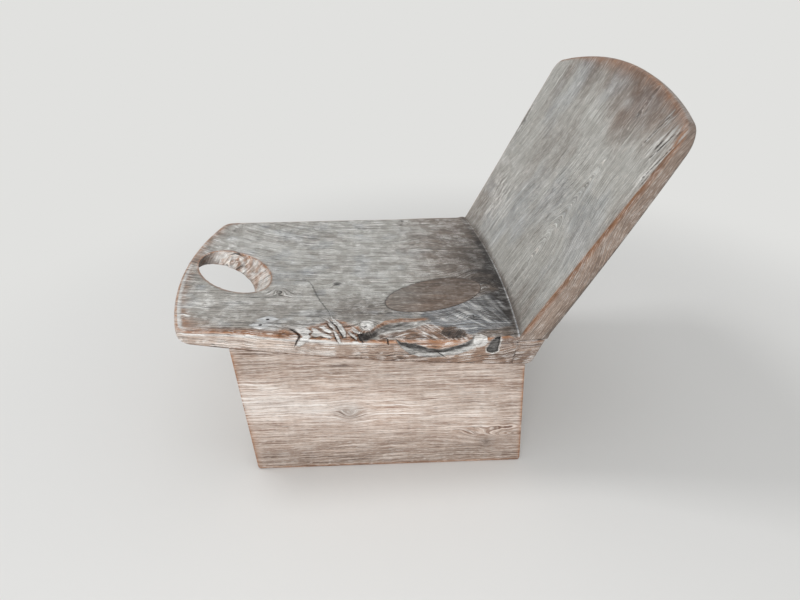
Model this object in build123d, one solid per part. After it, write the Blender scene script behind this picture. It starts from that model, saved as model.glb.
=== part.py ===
from build123d import *
from math import asin, cos, radians, sin, sqrt, tan
import os

# Low chair of weathered wood: a seat slab with a hand hole, a raked back slab let into its rear,
# and a hollow base of four boards with blocks and cleats inside.
# X is the width, with +X at the sitter's left; the sitter faces -Y; Z is up from the floor.
# The origin lies on the floor under the middle of the outer box. Millimetres and degrees.

# Seat slab
crease_y = 155.0            # where the seat's face and the back's face meet, at the sides
crease_height = 250.0
seat_length = 483.5         # front corners to the crease
seat_slope = 2.9            # the face falls towards the back
nose_half_width = 198.0
crease_half_width = 225.0
nose_bow = 38.0             # the front edge swells this far ahead of its right corner
nose_skew = 9.0             # its left corner lies this far ahead of its right one
nose_corner_radius = 26.0
nose_thickness = 21.5
heel_thickness = 51.5
underside_bow = 8.0         # the underside swells this far below its chord
heel_overhang = 9.0         # past the rear of the base
heel_radius = 12.0
seat_edge_radius = 6.0

# Wear along the left edge of the seat: a shallow scoop
wear_behind_nose = 282.0
wear_length = 410.0
wear_width = 34.0
wear_depth = 12.0

# Hand hole: an oval that narrows and turns on its way down
hole_x = 8.0
hole_behind_nose = 45.0     # from the front right corner
hole_length = 169.0
hole_width = 100.0
hole_angle = 35.0           # from straight across the chair
hole_foot_shift = 18.5      # the lower rim's centre lies this much nearer the front
hole_foot_length = 146.0
hole_foot_width = 82.0
hole_foot_angle = 33.0

# Oval patch let into the seat
patch_x = 98.0
patch_ahead_of_crease = 109.0
patch_length = 174.0
patch_width = 90.0
patch_angle = 115.0
patch_thickness = 12.0
patch_gap = 0.15

# Back slab
back_lean = 29.7            # from the vertical
back_length = 388.0         # crease to the crown, along the back
shoulder_half_width = 251.0
shoulder_at = 346.0         # along the back, where the crown starts at the sides
left_corner_radius = 36.0
right_corner_radius = 26.0
foot_thickness = 38.5
middle_thickness = 32.5
middle_at = 160.0
top_thickness = 15.0
foot_hollow = 12.0          # how far the middle of the face lies behind its edges
top_hollow = 6.0
rear_swell = 9.0            # how far the middle of the rear face stands behind its edges
back_edge_radius = 5.0
housing_depth = 8.0         # the foot is let this deep into the seat
housing_gap = 0.15

# Base
base_length = 433.0
base_middle_y = -41.2
base_lean = 2.4             # both ends lean forward on the way up
base_inset = 3.0            # inside the seat's edge
side_board_thickness = 28.0
end_board_thickness = 26.0
end_board_setback = 31.0    # inside the ends of the side boards, clear of the hand hole and the bolts
board_edge_radius = 2.0

# Blocks and cleats inside the base
cleat_width = 30.0
cleat_height = 28.0
block_width = 36.0
block_foot = 12.0           # above the floor

# Wood screws
screw_diameter = 4.5
screw_head_diameter = 9.0
screw_head_height = 3.5
screw_slot_width = 1.0
screw_slot_depth = 1.2
screw_recess = 1.2          # heads sit this far below the wood
screw_gap = 0.06
seat_screw_bite = 16.0      # how far a screw runs on into the wood beyond
board_screw_bite = 16.0
side_screw_count = 4
end_screw_count = 3

# Lag bolts that draw the back down onto the seat
bolt_diameter = 8.0
bolt_head_flats = 13.0
bolt_head_height = 5.3
bolt_bite = 78.0            # how far a bolt runs up into the back
bolt_spacing = 112.0
bolt_count = 4
bolt_behind_face = 22.0     # behind the edges of the back's face
bolt_gap = 0.1
washer_diameter = 21.0
washer_thickness = 1.8
counterbore_diameter = 23.0
counterbore_floor = 30.0    # below the foot of the back, along the bolt

# Dowels
dowel_diameter = 10.0
dowel_gap = 0.06
dowel_end_gap = 1.0
back_dowel_length = 56.0
back_dowel_spacing = 112.0
back_dowel_count = 3
base_dowel_length = 40.0
base_dowel_in_side = 15.0
base_dowel_count = 3

overrun = 60.0              # how far cutting shapes run past what they cut

# Places worked out from the sizes
nose_y = crease_y - seat_length
rear_limit = crease_y + overrun
front_limit = nose_y - nose_bow - overrun
flare = (crease_half_width - nose_half_width) / seat_length
seam_height = crease_height - housing_depth
back_up = Vector(0, sin(radians(back_lean)), cos(radians(back_lean)))
back_out = Vector(0, -cos(radians(back_lean)), sin(radians(back_lean)))
crease = Vector(0, crease_y, crease_height)
floor_front = base_middle_y - base_length / 2
floor_rear = base_middle_y + base_length / 2


def seat_height(y):
    return crease_height + (crease_y - y) * tan(radians(seat_slope))


def half_width(y):
    return nose_half_width + (y - nose_y) * flare


def leaned(y, z):
    """Where a plane that meets the floor at y stands at height z, in the base's lean."""
    return y - z * tan(radians(base_lean))


# The underside is one arc, from below the front corners to below the crease
under_front = Vector(0, nose_y, seat_height(nose_y) - nose_thickness)
under_rear = Vector(0, crease_y, crease_height - heel_thickness)
under_chord = under_rear - under_front
under_radius = under_chord.length**2 / (8 * underside_bow) + underside_bow / 2
under_rise = Vector(0, -under_chord.Z, under_chord.Y).normalized()
under_centre = (under_front + under_rear) * 0.5 + under_rise * (under_radius - underside_bow)


def under_height(y):
    return under_centre.Z - under_radius * cos(asin((y - under_centre.Y) / under_radius))


def underside_arc(front, rear, drop=0.0):
    places = (front, (front + rear) / 2, rear)
    return ThreePointArc(*[(0, y, under_height(y) - drop) for y in places])


def along_x(face, half):
    return extrude(face, amount=half, dir=(1, 0, 0), both=True)


def across_chair(edges):
    """A closed outline in the YZ plane, made wider than the chair."""
    return along_x(make_face(edges), shoulder_half_width + overrun)


def straight_up(face):
    return extrude(face, amount=crease_height + seat_length, dir=(0, 0, 1))


def raked_slice(front, rear):
    """Everything between two leaning planes that meet the floor at front and rear."""
    top = crease_height + overrun
    corners = ((front, 0), (rear, 0), (leaned(rear, top), top), (leaned(front, top), top))
    return across_chair(Polyline(*[(0, y, z) for y, z in corners], close=True))


def below_seat(drop=0.0):
    """Everything from the floor to the seat's underside, or to that far below it."""
    arc = underside_arc(nose_y, rear_limit, drop)
    rest = Polyline(arc @ 1, (0, rear_limit, 0), (0, nose_y, 0), arc @ 0)
    return across_chair([arc, rest])


def upright_strip(left_inset, right_inset):
    """Everything between two upright planes, each given as how far it lies inside the base's left face."""
    corners = []
    for y, inset in (
        (nose_y, left_inset),
        (rear_limit, left_inset),
        (rear_limit, right_inset),
        (nose_y, right_inset),
    ):
        corners.append((half_width(y) - base_inset - inset, y))
    return straight_up(make_face(Polyline(*corners, close=True)))


def inside_width(inset):
    """Everything between the planes that lie that far inside the base's left and right faces."""
    corners = []
    for y, side in ((nose_y, 1), (rear_limit, 1), (rear_limit, -1), (nose_y, -1)):
        corners.append((side * (half_width(y) - base_inset - inset), y))
    return straight_up(make_face(Polyline(*corners, close=True)))


def other_side(shape):
    return shape.mirror(Plane.YZ)


def spread(count, first, last):
    """Evenly spaced places from first to last, both included."""
    return [first + (last - first) * i / (count - 1) for i in range(count)]


def midway(places):
    """The middles of the gaps in a list of places."""
    return [(a + b) / 2 for a, b in zip(places, places[1:])]


def row(count, spacing):
    """Evenly spaced places about zero."""
    return [(i - (count - 1) / 2) * spacing for i in range(count)]


def aimed(point, direction, sideways=(1, 0, 0)):
    """A plane at a point, whose Z axis runs along the direction."""
    return Plane(origin=point, x_dir=sideways, z_dir=direction)


def rod(plane, diameter, start, end):
    """A cylinder along the plane's Z axis, from one distance to another."""
    length = end - start
    return plane * (Pos(0, 0, start + length / 2) * Cylinder(diameter / 2, length))


def group(solids):
    return Compound(children=solids)


# Seat slab

def seat_outline():
    left_y = nose_y - nose_skew
    nose = ThreePointArc((-nose_half_width, nose_y), (0, nose_y - nose_bow), (half_width(left_y), left_y))
    rear = half_width(rear_limit)
    rest = Polyline(nose @ 1, (rear, rear_limit), (-rear, rear_limit), nose @ 0)
    face = make_face([nose, rest])
    return fillet(face.vertices().sort_by(Axis.Y)[:2], nose_corner_radius)


foot_front = crease - back_up * (housing_depth / cos(radians(back_lean)))
foot_rear_y = foot_front.Y + foot_thickness / cos(radians(back_lean))
heel_y = leaned(floor_rear, under_height(crease_y)) + heel_overhang


def seat_side_view():
    arc = underside_arc(front_limit, heel_y)
    rest = Polyline(
        arc @ 1,
        (0, foot_rear_y, seam_height),
        (0, foot_rear_y, seat_height(foot_rear_y)),
        (0, front_limit, seat_height(front_limit)),
        arc @ 0,
    )
    return [arc, rest]


def seat_frame(x, y, lift=0.0):
    """A plane in the seat's face, or above it, with its X axis across the chair."""
    up = Vector(0, sin(radians(seat_slope)), cos(radians(seat_slope)))
    return Plane(origin=Vector(x, y, seat_height(y)) + up * lift, x_dir=(1, 0, 0), z_dir=up)


def oval(plane, length, width, turn):
    return plane * (Rot(0, 0, turn) * Ellipse(length / 2, width / 2))


def hand_hole():
    y = nose_y + hole_behind_nose
    foot_y = y - hole_foot_shift
    upper = oval(seat_frame(hole_x, y), hole_length, hole_width, hole_angle)
    drop = under_height(foot_y) - seat_height(foot_y)
    lower = oval(seat_frame(hole_x, foot_y, drop), hole_foot_length, hole_foot_width, hole_foot_angle)
    shaft = loft([lower, upper])
    mouth = extrude(upper, amount=overrun / 4)
    outlet = extrude(lower, amount=-overrun / 4)
    return shaft + mouth + outlet


def worn_scoop():
    """A ball whose cap dips into the seat's left edge."""
    y = nose_y + wear_behind_nose
    rim_radius = wear_length**2 / (8 * wear_width) + wear_width / 2
    lift = (2 * rim_radius * wear_width - wear_width**2 - wear_depth**2) / (2 * wear_depth)
    plane = seat_frame(half_width(y), y)
    outward = Vector(1, -flare, 0).normalized()
    centre = plane.origin + outward * (rim_radius - wear_width) + plane.z_dir * lift
    return Pos(centre) * Sphere(sqrt(rim_radius**2 + lift**2))


def patch_shape(grow, depth):
    plane = seat_frame(patch_x, crease_y - patch_ahead_of_crease)
    face = oval(plane, patch_length + 2 * grow, patch_width + 2 * grow, patch_angle)
    return extrude(face, amount=-depth)


# Back slab, built from cross sections along its length

def rear_depth(s):
    """Thickness at the sides, along the back: a smooth curve through three thicknesses."""
    first = (middle_thickness - foot_thickness) / middle_at
    second = (top_thickness - middle_thickness) / (back_length - middle_at)
    bend = (second - first) / back_length
    return foot_thickness + first * s + bend * s * (s - middle_at)


def back_half_width(s):
    return crease_half_width + (shoulder_half_width - crease_half_width) * s / shoulder_at


def back_frame(s, x=0.0, behind=0.0):
    """A plane square to the back's length, with X across the chair and Y towards the rear."""
    origin = crease + back_up * s - back_out * behind + Vector(x, 0, 0)
    return Plane(origin=origin, x_dir=(1, 0, 0), z_dir=back_up)


def back_section(s, deeper=0.0, wider=0.0, ahead=0.0):
    """Hollow face and swelling rear. The housing's cutter is deeper and wider, and set ahead."""
    width = back_half_width(s)
    reach = width + wider
    hollow = foot_hollow + (top_hollow - foot_hollow) * s / back_length
    edge = hollow * (1 - (reach / width) ** 2) - ahead
    rear = rear_depth(s) + deeper
    face = ThreePointArc((-reach, edge), (0, hollow - ahead), (reach, edge))
    swell = ThreePointArc((reach, rear), (0, rear + rear_swell), (-reach, rear))
    outline = [face, Line(face @ 1, swell @ 0), swell, Line(swell @ 1, face @ 0)]
    return back_frame(s) * make_face(outline)


def above_seam():
    """Everything above the level on which the back stands."""
    size = 4 * shoulder_half_width + 2 * overrun
    return Pos(0, crease_y, seam_height + size / 2) * Box(size, size, size)


def back_body():
    stations = (-overrun / 2, middle_at, back_length + overrun / 2)
    return loft([back_section(s) for s in stations])


def crown():
    """A disc standing in the back's plane, whose rim is the crowned top edge."""
    rise = back_length - shoulder_at
    radius = shoulder_half_width**2 / (2 * rise) + rise / 2
    middle = crease + back_up * (back_length - radius)
    return aimed(middle, back_out) * Cylinder(radius, 4 * overrun)


def crown_corner(slab, side):
    """The edge where the crown meets one side face."""
    upright = [e for e in slab.edges() if abs((e % 0.5).dot(back_out)) > 0.9]
    return [e for e in upright if side * (e @ 0.5).X > shoulder_half_width * 0.9]


def seam_frame(x, behind):
    """A plane square to the back's length, where a line that far behind its face meets the seam."""
    s = (behind * sin(radians(back_lean)) - housing_depth) / cos(radians(back_lean))
    return back_frame(s, x, behind)


bolt_frames = [seam_frame(x, bolt_behind_face) for x in row(bolt_count, bolt_spacing)]
back_dowel_frames = [seam_frame(x, bolt_behind_face) for x in row(back_dowel_count, back_dowel_spacing)]
bolt_bore = bolt_diameter + 2 * bolt_gap
dowel_bore = dowel_diameter + 2 * dowel_gap


def make_back():
    slab = back_body() & crown() & above_seam()
    slab = fillet(crown_corner(slab, 1), left_corner_radius)
    slab = fillet(crown_corner(slab, -1), right_corner_radius)
    slab = fillet([e for e in slab.edges() if (e @ 0.5).Z > seam_height + 1], back_edge_radius)
    for plane in bolt_frames:
        slab -= rod(plane, bolt_bore, -foot_thickness, bolt_bite + dowel_end_gap)
    for plane in back_dowel_frames:
        slab -= rod(plane, dowel_bore, -foot_thickness, back_dowel_length / 2 + dowel_end_gap)
    return slab


# Screws: slotted, countersunk, with the head's face in the plane and the tip along its Z axis

def screw(plane, length):
    radius = screw_diameter / 2
    tip = screw_diameter * 1.5
    body = Pos(0, 0, screw_head_height / 2) * Cone(screw_head_diameter / 2, radius, screw_head_height)
    body += Pos(0, 0, (screw_head_height + length - tip) / 2) * Cylinder(
        radius, length - tip - screw_head_height
    )
    body += Pos(0, 0, length - tip / 2) * Cone(radius, radius / 5, tip)
    body -= Pos(0, 0, screw_slot_depth / 2) * Box(
        screw_head_diameter * 2, screw_slot_width, screw_slot_depth
    )
    return plane * body


def screw_bore(plane, length):
    radius = screw_diameter / 2 + screw_gap
    head_radius = screw_head_diameter / 2 + screw_gap
    body = Pos(0, 0, screw_head_height / 2) * Cone(head_radius, radius, screw_head_height)
    shank = rod(Plane.XY, 2 * radius, 0, length + screw_diameter / 2)
    mouth = rod(Plane.XY, 2 * head_radius, -screw_head_diameter, 0)
    return plane * (body + shank + mouth)


# Each screw is a plane at its head's face and a length
cleat_inset = side_board_thickness + cleat_width
block_inset = side_board_thickness + block_width
front_inner = floor_front + end_board_setback + end_board_thickness
rear_inner = floor_rear - end_board_setback - end_board_thickness
clear_of_block = block_width + 2 * screw_head_diameter


def inner_x(y, inset):
    return half_width(y) - base_inset - inset


def outward(side):
    return Vector(side, -flare, 0).normalized()


def side_screw_places():
    level = crease_height
    first = leaned(front_inner, level) + clear_of_block
    last = leaned(rear_inner, level) - clear_of_block
    return spread(side_screw_count, first, last)


def end_screw_places(y):
    reach = inner_x(y, side_board_thickness) - clear_of_block
    return spread(end_screw_count, -reach, reach)


def into_seat(x, y):
    head = under_height(y) - cleat_height + screw_recess
    return aimed((x, y, head), (0, 0, 1)), cleat_height - screw_recess + seat_screw_bite


def into_side(side, y, z, inset):
    direction = outward(side)
    face = Vector(side * inner_x(y, inset), y, z)
    length = inset - side_board_thickness - screw_recess + board_screw_bite
    return aimed(face + direction * screw_recess, direction, (0, 0, 1)), length


def into_end(x, y, z, thickness, ahead):
    head = Vector(x, y + ahead * screw_recess, z)
    return aimed(head, (0, ahead, 0)), thickness - screw_recess + board_screw_bite


# The two ends of the base: where each board's inner face meets the floor, and the way out through it
base_ends = {"front": (front_inner, -1), "rear": (rear_inner, 1)}


def end_middle(name, z):
    """Y of the middle of an end board's thickness."""
    inner, ahead = base_ends[name]
    return leaned(inner + ahead * end_board_thickness / 2, z)


def cleat_face(name, y_level):
    """Y of the inner face of the cleat along an end board."""
    inner, ahead = base_ends[name]
    return leaned(inner, y_level) - ahead * cleat_width


def end_level(name):
    """Height of the middle of the cleat along an end board."""
    inner, ahead = base_ends[name]
    y = leaned(inner, crease_height) - ahead * cleat_width / 2
    return under_height(y) - cleat_height / 2


def seat_screw_list():
    found = []
    for side in (1, -1):
        for y in side_screw_places():
            found.append(into_seat(side * inner_x(y, side_board_thickness + cleat_width / 2), y))
    for name in base_ends:
        inner, ahead = base_ends[name]
        y = leaned(inner, end_level(name)) - ahead * cleat_width / 2
        for x in end_screw_places(y):
            found.append(into_seat(x, y))
    return found


def side_cleat_screws(side):
    middles = midway(side_screw_places())
    return [into_side(side, y, under_height(y) - cleat_height / 2, cleat_inset) for y in middles]


def end_cleat_screws(name):
    level = end_level(name)
    y = cleat_face(name, level)
    middles = midway(end_screw_places(y))
    return [into_end(x, y, level, cleat_width, base_ends[name][1]) for x in middles]


def dowel_heights(name):
    top = under_height(end_middle(name, crease_height))
    edge = top / (2 * base_dowel_count)
    return spread(base_dowel_count, edge, top - edge)


def block_side_screws(name, side):
    found = []
    inner, ahead = base_ends[name]
    for z in dowel_heights(name)[:-1]:
        y = leaned(inner, z) - ahead * block_width / 2
        found.append(into_side(side, y, z, block_inset))
    return found


def block_end_screws(name, side):
    found = []
    inner, ahead = base_ends[name]
    for z in midway(dowel_heights(name)):
        y = leaned(inner, z) - ahead * block_width
        x = side * inner_x(y, side_board_thickness + block_width / 2)
        found.append(into_end(x, y, z, block_width, ahead))
    return found


def base_dowel_frames(name, side):
    """Planes in the joint between a side board and an end board, facing outwards."""
    found = []
    for z in dowel_heights(name):
        y = end_middle(name, z)
        found.append(aimed((side * inner_x(y, side_board_thickness), y, z), outward(side), (0, 0, 1)))
    return found


def bored(shape, screws):
    for plane, length in screws:
        shape -= screw_bore(plane, length)
    return shape


def make_seat():
    slab = across_chair(seat_side_view()) & straight_up(seat_outline())
    slab = fillet([e for e in slab.edges() if abs((e @ 0.5).Y - heel_y) < 0.5], heel_radius)
    housing = loft([back_section(s, 2 * overrun, overrun, housing_gap) for s in (-overrun, 2 * overrun)])
    slab -= housing & above_seam()
    rim = [e for e in slab.edges() if abs((e % 0.5).Z) < 0.95]
    nose = [e for e in rim if (e @ 0.5).Y < nose_y - 1]
    sides = [e for e in rim if (e @ 0.5).Y > nose_y - 1 and abs((e @ 0.5).X) > 1]
    sides = [e for e in sides if (e @ 0.5).Y < crease_y - housing_depth or (e @ 0.5).Z < seam_height - 1]
    slab = fillet(nose + sides, seat_edge_radius)
    slab -= hand_hole()
    slab -= worn_scoop()
    slab -= patch_shape(patch_gap, patch_thickness)
    for plane in bolt_frames:
        slab -= rod(plane, bolt_bore, -2 * overrun, overrun)
        slab -= rod(plane, counterbore_diameter, -2 * overrun, -counterbore_floor)
    for plane in back_dowel_frames:
        slab -= rod(plane, dowel_bore, -back_dowel_length / 2 - dowel_end_gap, overrun)
    return bored(slab, seat_screw_list())


# Base

def make_side_board():
    board = raked_slice(floor_front, floor_rear) & upright_strip(0, side_board_thickness) & below_seat()
    outer = board.faces().sort_by(Axis.X)[-1]
    rim = [e for e in outer.edges() if (e @ 0.5).Z < crease_height / 2]
    board = fillet(rim + outer.edges().filter_by(lambda e: abs((e % 0.5).Z) > 0.9), board_edge_radius)
    for name in base_ends:
        for plane in base_dowel_frames(name, 1):
            board -= rod(plane, dowel_bore, -dowel_diameter, base_dowel_in_side + dowel_end_gap)
        board = bored(board, block_side_screws(name, 1))
    return bored(board, side_cleat_screws(1))


def make_end_board(name):
    inner, ahead = base_ends[name]
    outer = inner + ahead * end_board_thickness
    board = raked_slice(min(inner, outer), max(inner, outer)) & inside_width(side_board_thickness) & below_seat()
    for side in (1, -1):
        for plane in base_dowel_frames(name, side):
            board -= rod(plane, dowel_bore, base_dowel_in_side - base_dowel_length - dowel_end_gap, dowel_diameter)
        board = bored(board, block_end_screws(name, side))
    return bored(board, end_cleat_screws(name))


def make_block(name, side):
    inner, ahead = base_ends[name]
    far_face = inner - ahead * block_width
    column = raked_slice(min(inner, far_face), max(inner, far_face)) & below_seat(cleat_height)
    column &= upright_strip(side_board_thickness, block_inset)
    column -= Box(4 * shoulder_half_width, 4 * seat_length, 2 * block_foot)
    if side < 0:
        column = other_side(column)
    column = bored(column, block_side_screws(name, side))
    return bored(column, block_end_screws(name, side))


def cleat_layer():
    return below_seat() - below_seat(cleat_height)


def make_side_cleat(side):
    cleat = raked_slice(front_inner, rear_inner) & cleat_layer()
    cleat &= upright_strip(side_board_thickness, cleat_inset)
    if side < 0:
        cleat = other_side(cleat)
    cleat = bored(cleat, seat_screw_list())
    return bored(cleat, side_cleat_screws(side))


def make_end_cleat(name):
    inner, ahead = base_ends[name]
    far_face = inner - ahead * cleat_width
    cleat = raked_slice(min(inner, far_face), max(inner, far_face)) & cleat_layer()
    cleat &= inside_width(cleat_inset)
    cleat = bored(cleat, seat_screw_list())
    return bored(cleat, end_cleat_screws(name))


# Fasteners

def make_bolt(plane):
    under_head = -counterbore_floor - washer_thickness
    head = RegularPolygon(bolt_head_flats / 2, 6, major_radius=False)
    body = plane * (Pos(0, 0, under_head - bolt_head_height) * extrude(head, amount=bolt_head_height))
    tip = bolt_diameter
    body += rod(plane, bolt_diameter, under_head, bolt_bite - tip)
    return body + plane * (Pos(0, 0, bolt_bite - tip / 2) * Cone(bolt_diameter / 2, bolt_diameter / 10, tip))


def make_washer(plane):
    ring = rod(plane, washer_diameter, -counterbore_floor - washer_thickness, -counterbore_floor)
    return ring - rod(plane, bolt_bore, -2 * counterbore_floor, 0)


def make_dowel(plane, start, end):
    dowel = rod(plane, dowel_diameter, start, end)
    return chamfer(dowel.edges().filter_by(GeomType.CIRCLE), dowel_diameter / 10)


side_board = make_side_board()
corners = [(name, side) for name in base_ends for side in (1, -1)]
side_words = {1: "left", -1: "right"}
cleat_screw_list = side_cleat_screws(1) + side_cleat_screws(-1)
cleat_screw_list += end_cleat_screws("front") + end_cleat_screws("rear")
block_screw_list = []
base_dowel_list = []
for name, side in corners:
    block_screw_list += block_side_screws(name, side) + block_end_screws(name, side)
    base_dowel_list += base_dowel_frames(name, side)

parts = {
    "seat_slab": make_seat(),
    "seat_patch": patch_shape(0, patch_thickness),
    "back_slab": make_back(),
    "base_side_left": side_board,
    "base_side_right": other_side(side_board),
    "base_front_board": make_end_board("front"),
    "base_rear_board": make_end_board("rear"),
    "seat_cleat_left": make_side_cleat(1),
    "seat_cleat_right": make_side_cleat(-1),
    "seat_cleat_front": make_end_cleat("front"),
    "seat_cleat_rear": make_end_cleat("rear"),
    "seat_screws": group([screw(*place) for place in seat_screw_list()]),
    "cleat_screws": group([screw(*place) for place in cleat_screw_list]),
    "block_screws": group([screw(*place) for place in block_screw_list]),
    "back_bolts": group([make_bolt(plane) for plane in bolt_frames]),
    "back_washers": group([make_washer(plane) for plane in bolt_frames]),
    "back_dowels": group(
        [make_dowel(plane, -back_dowel_length / 2, back_dowel_length / 2) for plane in back_dowel_frames]
    ),
    "base_dowels": group(
        [make_dowel(plane, base_dowel_in_side - base_dowel_length, base_dowel_in_side) for plane in base_dowel_list]
    ),
}
for name, side in corners:
    parts[f"corner_block_{name}_{side_words[side]}"] = make_block(name, side)

os.makedirs("parts", exist_ok=True)
for node, shape in parts.items():
    export_step(shape, f"parts/{node}.step")
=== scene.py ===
import math
import bmesh
import bpy
import numpy as np
from mathutils import Matrix, Vector
from mathutils.geometry import delaunay_2d_cdt


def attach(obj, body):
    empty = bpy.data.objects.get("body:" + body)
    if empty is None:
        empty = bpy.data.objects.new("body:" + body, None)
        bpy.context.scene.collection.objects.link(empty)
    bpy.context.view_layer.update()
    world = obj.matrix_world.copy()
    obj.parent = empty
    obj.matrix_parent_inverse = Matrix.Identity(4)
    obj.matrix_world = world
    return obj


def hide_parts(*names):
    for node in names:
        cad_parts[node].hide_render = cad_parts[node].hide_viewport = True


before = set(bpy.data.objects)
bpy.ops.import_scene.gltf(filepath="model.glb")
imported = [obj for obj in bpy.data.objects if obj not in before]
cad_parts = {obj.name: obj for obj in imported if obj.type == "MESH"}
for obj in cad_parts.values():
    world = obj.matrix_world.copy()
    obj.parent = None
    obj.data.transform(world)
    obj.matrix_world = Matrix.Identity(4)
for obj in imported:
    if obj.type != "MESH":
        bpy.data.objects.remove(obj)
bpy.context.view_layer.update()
mm = 0.001    # shapes are worked out in millimetres and scaled as they become meshes

chair = {
    "creaseY": 155.0,
    "creaseHeight": 250.0,
    "seatLength": 483.5,
    "seatSlope": 2.9,
    "noseHalfWidth": 198.0,
    "creaseHalfWidth": 225.0,
    "noseThickness": 21.5,
    "heelThickness": 51.5,
    "undersideBow": 8.0,
    "backLean": 29.7,
    "housingDepth": 8.0,
    "footHollow": 12.0,
    "baseLength": 433.0,
    "baseMiddleY": -41.2,
    "baseLean": 2.4,
    "baseInset": 3.0,
}

noseY = chair["creaseY"] - chair["seatLength"]
slopeTan = math.tan(math.radians(chair["seatSlope"]))
leanTan = math.tan(math.radians(chair["baseLean"]))
flare = (chair["creaseHalfWidth"] - chair["noseHalfWidth"]) / chair["seatLength"]
seamHeight = chair["creaseHeight"] - chair["housingDepth"]
backAngle = math.radians(chair["backLean"])
backUp = np.array((0, math.sin(backAngle), math.cos(backAngle)))
backOut = np.array((0, -math.cos(backAngle), math.sin(backAngle)))
creasePoint = np.array((0, chair["creaseY"], chair["creaseHeight"]))
floorFront = chair["baseMiddleY"] - chair["baseLength"] / 2
floorRear = chair["baseMiddleY"] + chair["baseLength"] / 2


def seatHeight(y):
    return chair["creaseHeight"] + (chair["creaseY"] - y) * slopeTan


def halfWidth(y):
    return chair["noseHalfWidth"] + (y - noseY) * flare


# The underside is one arc
underFront = np.array((noseY, seatHeight(noseY) - chair["noseThickness"]))
underRear = np.array((chair["creaseY"], chair["creaseHeight"] - chair["heelThickness"]))
underChord = underRear - underFront
chordLength = np.hypot(*underChord)
underRadius = chordLength**2 / (8 * chair["undersideBow"]) + chair["undersideBow"] / 2
underCentre = (underFront + underRear) / 2
underCentre = underCentre + np.array((-underChord[1], underChord[0])) / chordLength * (
    underRadius - chair["undersideBow"]
)


def underHeight(y):
    return underCentre[1] - np.sqrt(underRadius**2 - (y - underCentre[0]) ** 2)


# Noise and small helpers

def latticeValue(i, j, seed):
    # a steady value from 0 to 1 for each cell
    k = (i.astype(np.int64) * 73856093) ^ (j.astype(np.int64) * 19349663) ^ np.int64(seed * 83492791)
    k &= 0x7FFFFFFF
    k = (k * ((k * k * 15731 + 789221) & 0x7FFFFFFF) + 1376312589) & 0x7FFFFFFF
    return k / 0x7FFFFFFF


def softNoise(x, y, seed=1):
    i, j = np.floor(x), np.floor(y)
    u, v = x - i, y - j
    u, v = u * u * (3 - 2 * u), v * v * (3 - 2 * v)
    low = latticeValue(i, j, seed) * (1 - u) + latticeValue(i + 1, j, seed) * u
    high = latticeValue(i, j + 1, seed) * (1 - u) + latticeValue(i + 1, j + 1, seed) * u
    return 2 * (low * (1 - v) + high * v) - 1


def layeredNoise(x, y, seed=1, layers=3):
    total, weight = 0.0, 1.0
    for layer in range(layers):
        total = total + weight * softNoise(x * 2**layer, y * 2**layer, seed + 7 * layer)
        weight *= 0.5
    return total


def ease(low, high, value):
    t = np.clip((value - low) / (high - low), 0, 1)
    return t * t * (3 - 2 * t)


def peak(value, middle, reach, power=2):
    # 1 at the middle, fading away beyond the reach
    return np.exp(-(np.abs((value - middle) / reach) ** power))


def spot(x, y, spec):
    # a soft oval around a place
    return peak(x, spec["at"][0], spec["reach"][0]) * peak(y, spec["at"][1], spec["reach"][1])


def ovalPlace(points, spec):
    # how far each point lies across and along an oval, in its own radii
    return ((points - spec["at"]) / spec["reach"]).T


def raised(mask, value):
    # a mask lifted to a value where it lies below it
    return np.maximum(mask, value)


def within(value, span):
    return (value > span[0]) & (value < span[1])


def sideBySide(*columns):
    return np.stack(columns, 1)


def smoothPath(points, spacing):
    # a curve through a few points, sampled evenly
    p = np.array(points, float)
    ends = np.vstack([2 * p[0] - p[1], p, 2 * p[-1] - p[-2]])
    t = np.linspace(0, 1, 17)[:-1, None]
    spans = []
    for a, b, c, d in zip(ends, ends[1:], ends[2:], ends[3:]):
        square, cube = 2 * a - 5 * b + 4 * c - d, 3 * b - a - 3 * c + d
        spans.append(0.5 * (2 * b + (c - a) * t + square * t**2 + cube * t**3))
    curve = np.vstack(spans + [p[-1:]])
    along = np.concatenate([[0], np.cumsum(np.hypot(*np.diff(curve, axis=0).T))])
    count = max(4, int(along[-1] / spacing) + 1)
    places = np.linspace(0, along[-1], count)
    return np.stack([np.interp(places, along, curve[:, k]) for k in range(curve.shape[1])], 1)


def pathDistance(points, path, widths=None):
    # distance to a path, over its half width where given
    path = np.asarray(path, float)
    best = np.full(len(points), 1e9)
    for k in range(len(path) - 1):
        a, b = path[k], path[k + 1]
        d = b - a
        t = np.clip(((points - a) @ d) / max(d @ d, 1e-9), 0, 1)
        off = points - a - t[:, None] * d
        reach = np.hypot(off[:, 0], off[:, 1])
        if widths is not None:
            reach = reach / (widths[k] + (widths[k + 1] - widths[k]) * t)
        best = np.minimum(best, reach)
    return best


def insideOutline(points, outline):
    outline = np.asarray(outline, float)
    result = np.zeros(len(points), bool)
    x, y = points[:, 0], points[:, 1]
    for (ax, ay), (bx, by) in zip(outline, np.roll(outline, -1, axis=0)):
        if ay == by:
            continue
        crosses = (ay > y) != (by > y)
        result ^= crosses & (x < (bx - ax) * (y - ay) / (by - ay) + ax)
    return result


def closedLoop(loop):
    return np.vstack([loop, loop[:1]])


def loopDistance(points, loop):
    return pathDistance(points, closedLoop(loop))


def outlineDistance(points, outline):
    # negative inside
    outline = np.asarray(outline, float)
    reach = loopDistance(points, outline)
    return np.where(insideOutline(points, outline), -reach, reach)


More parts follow.
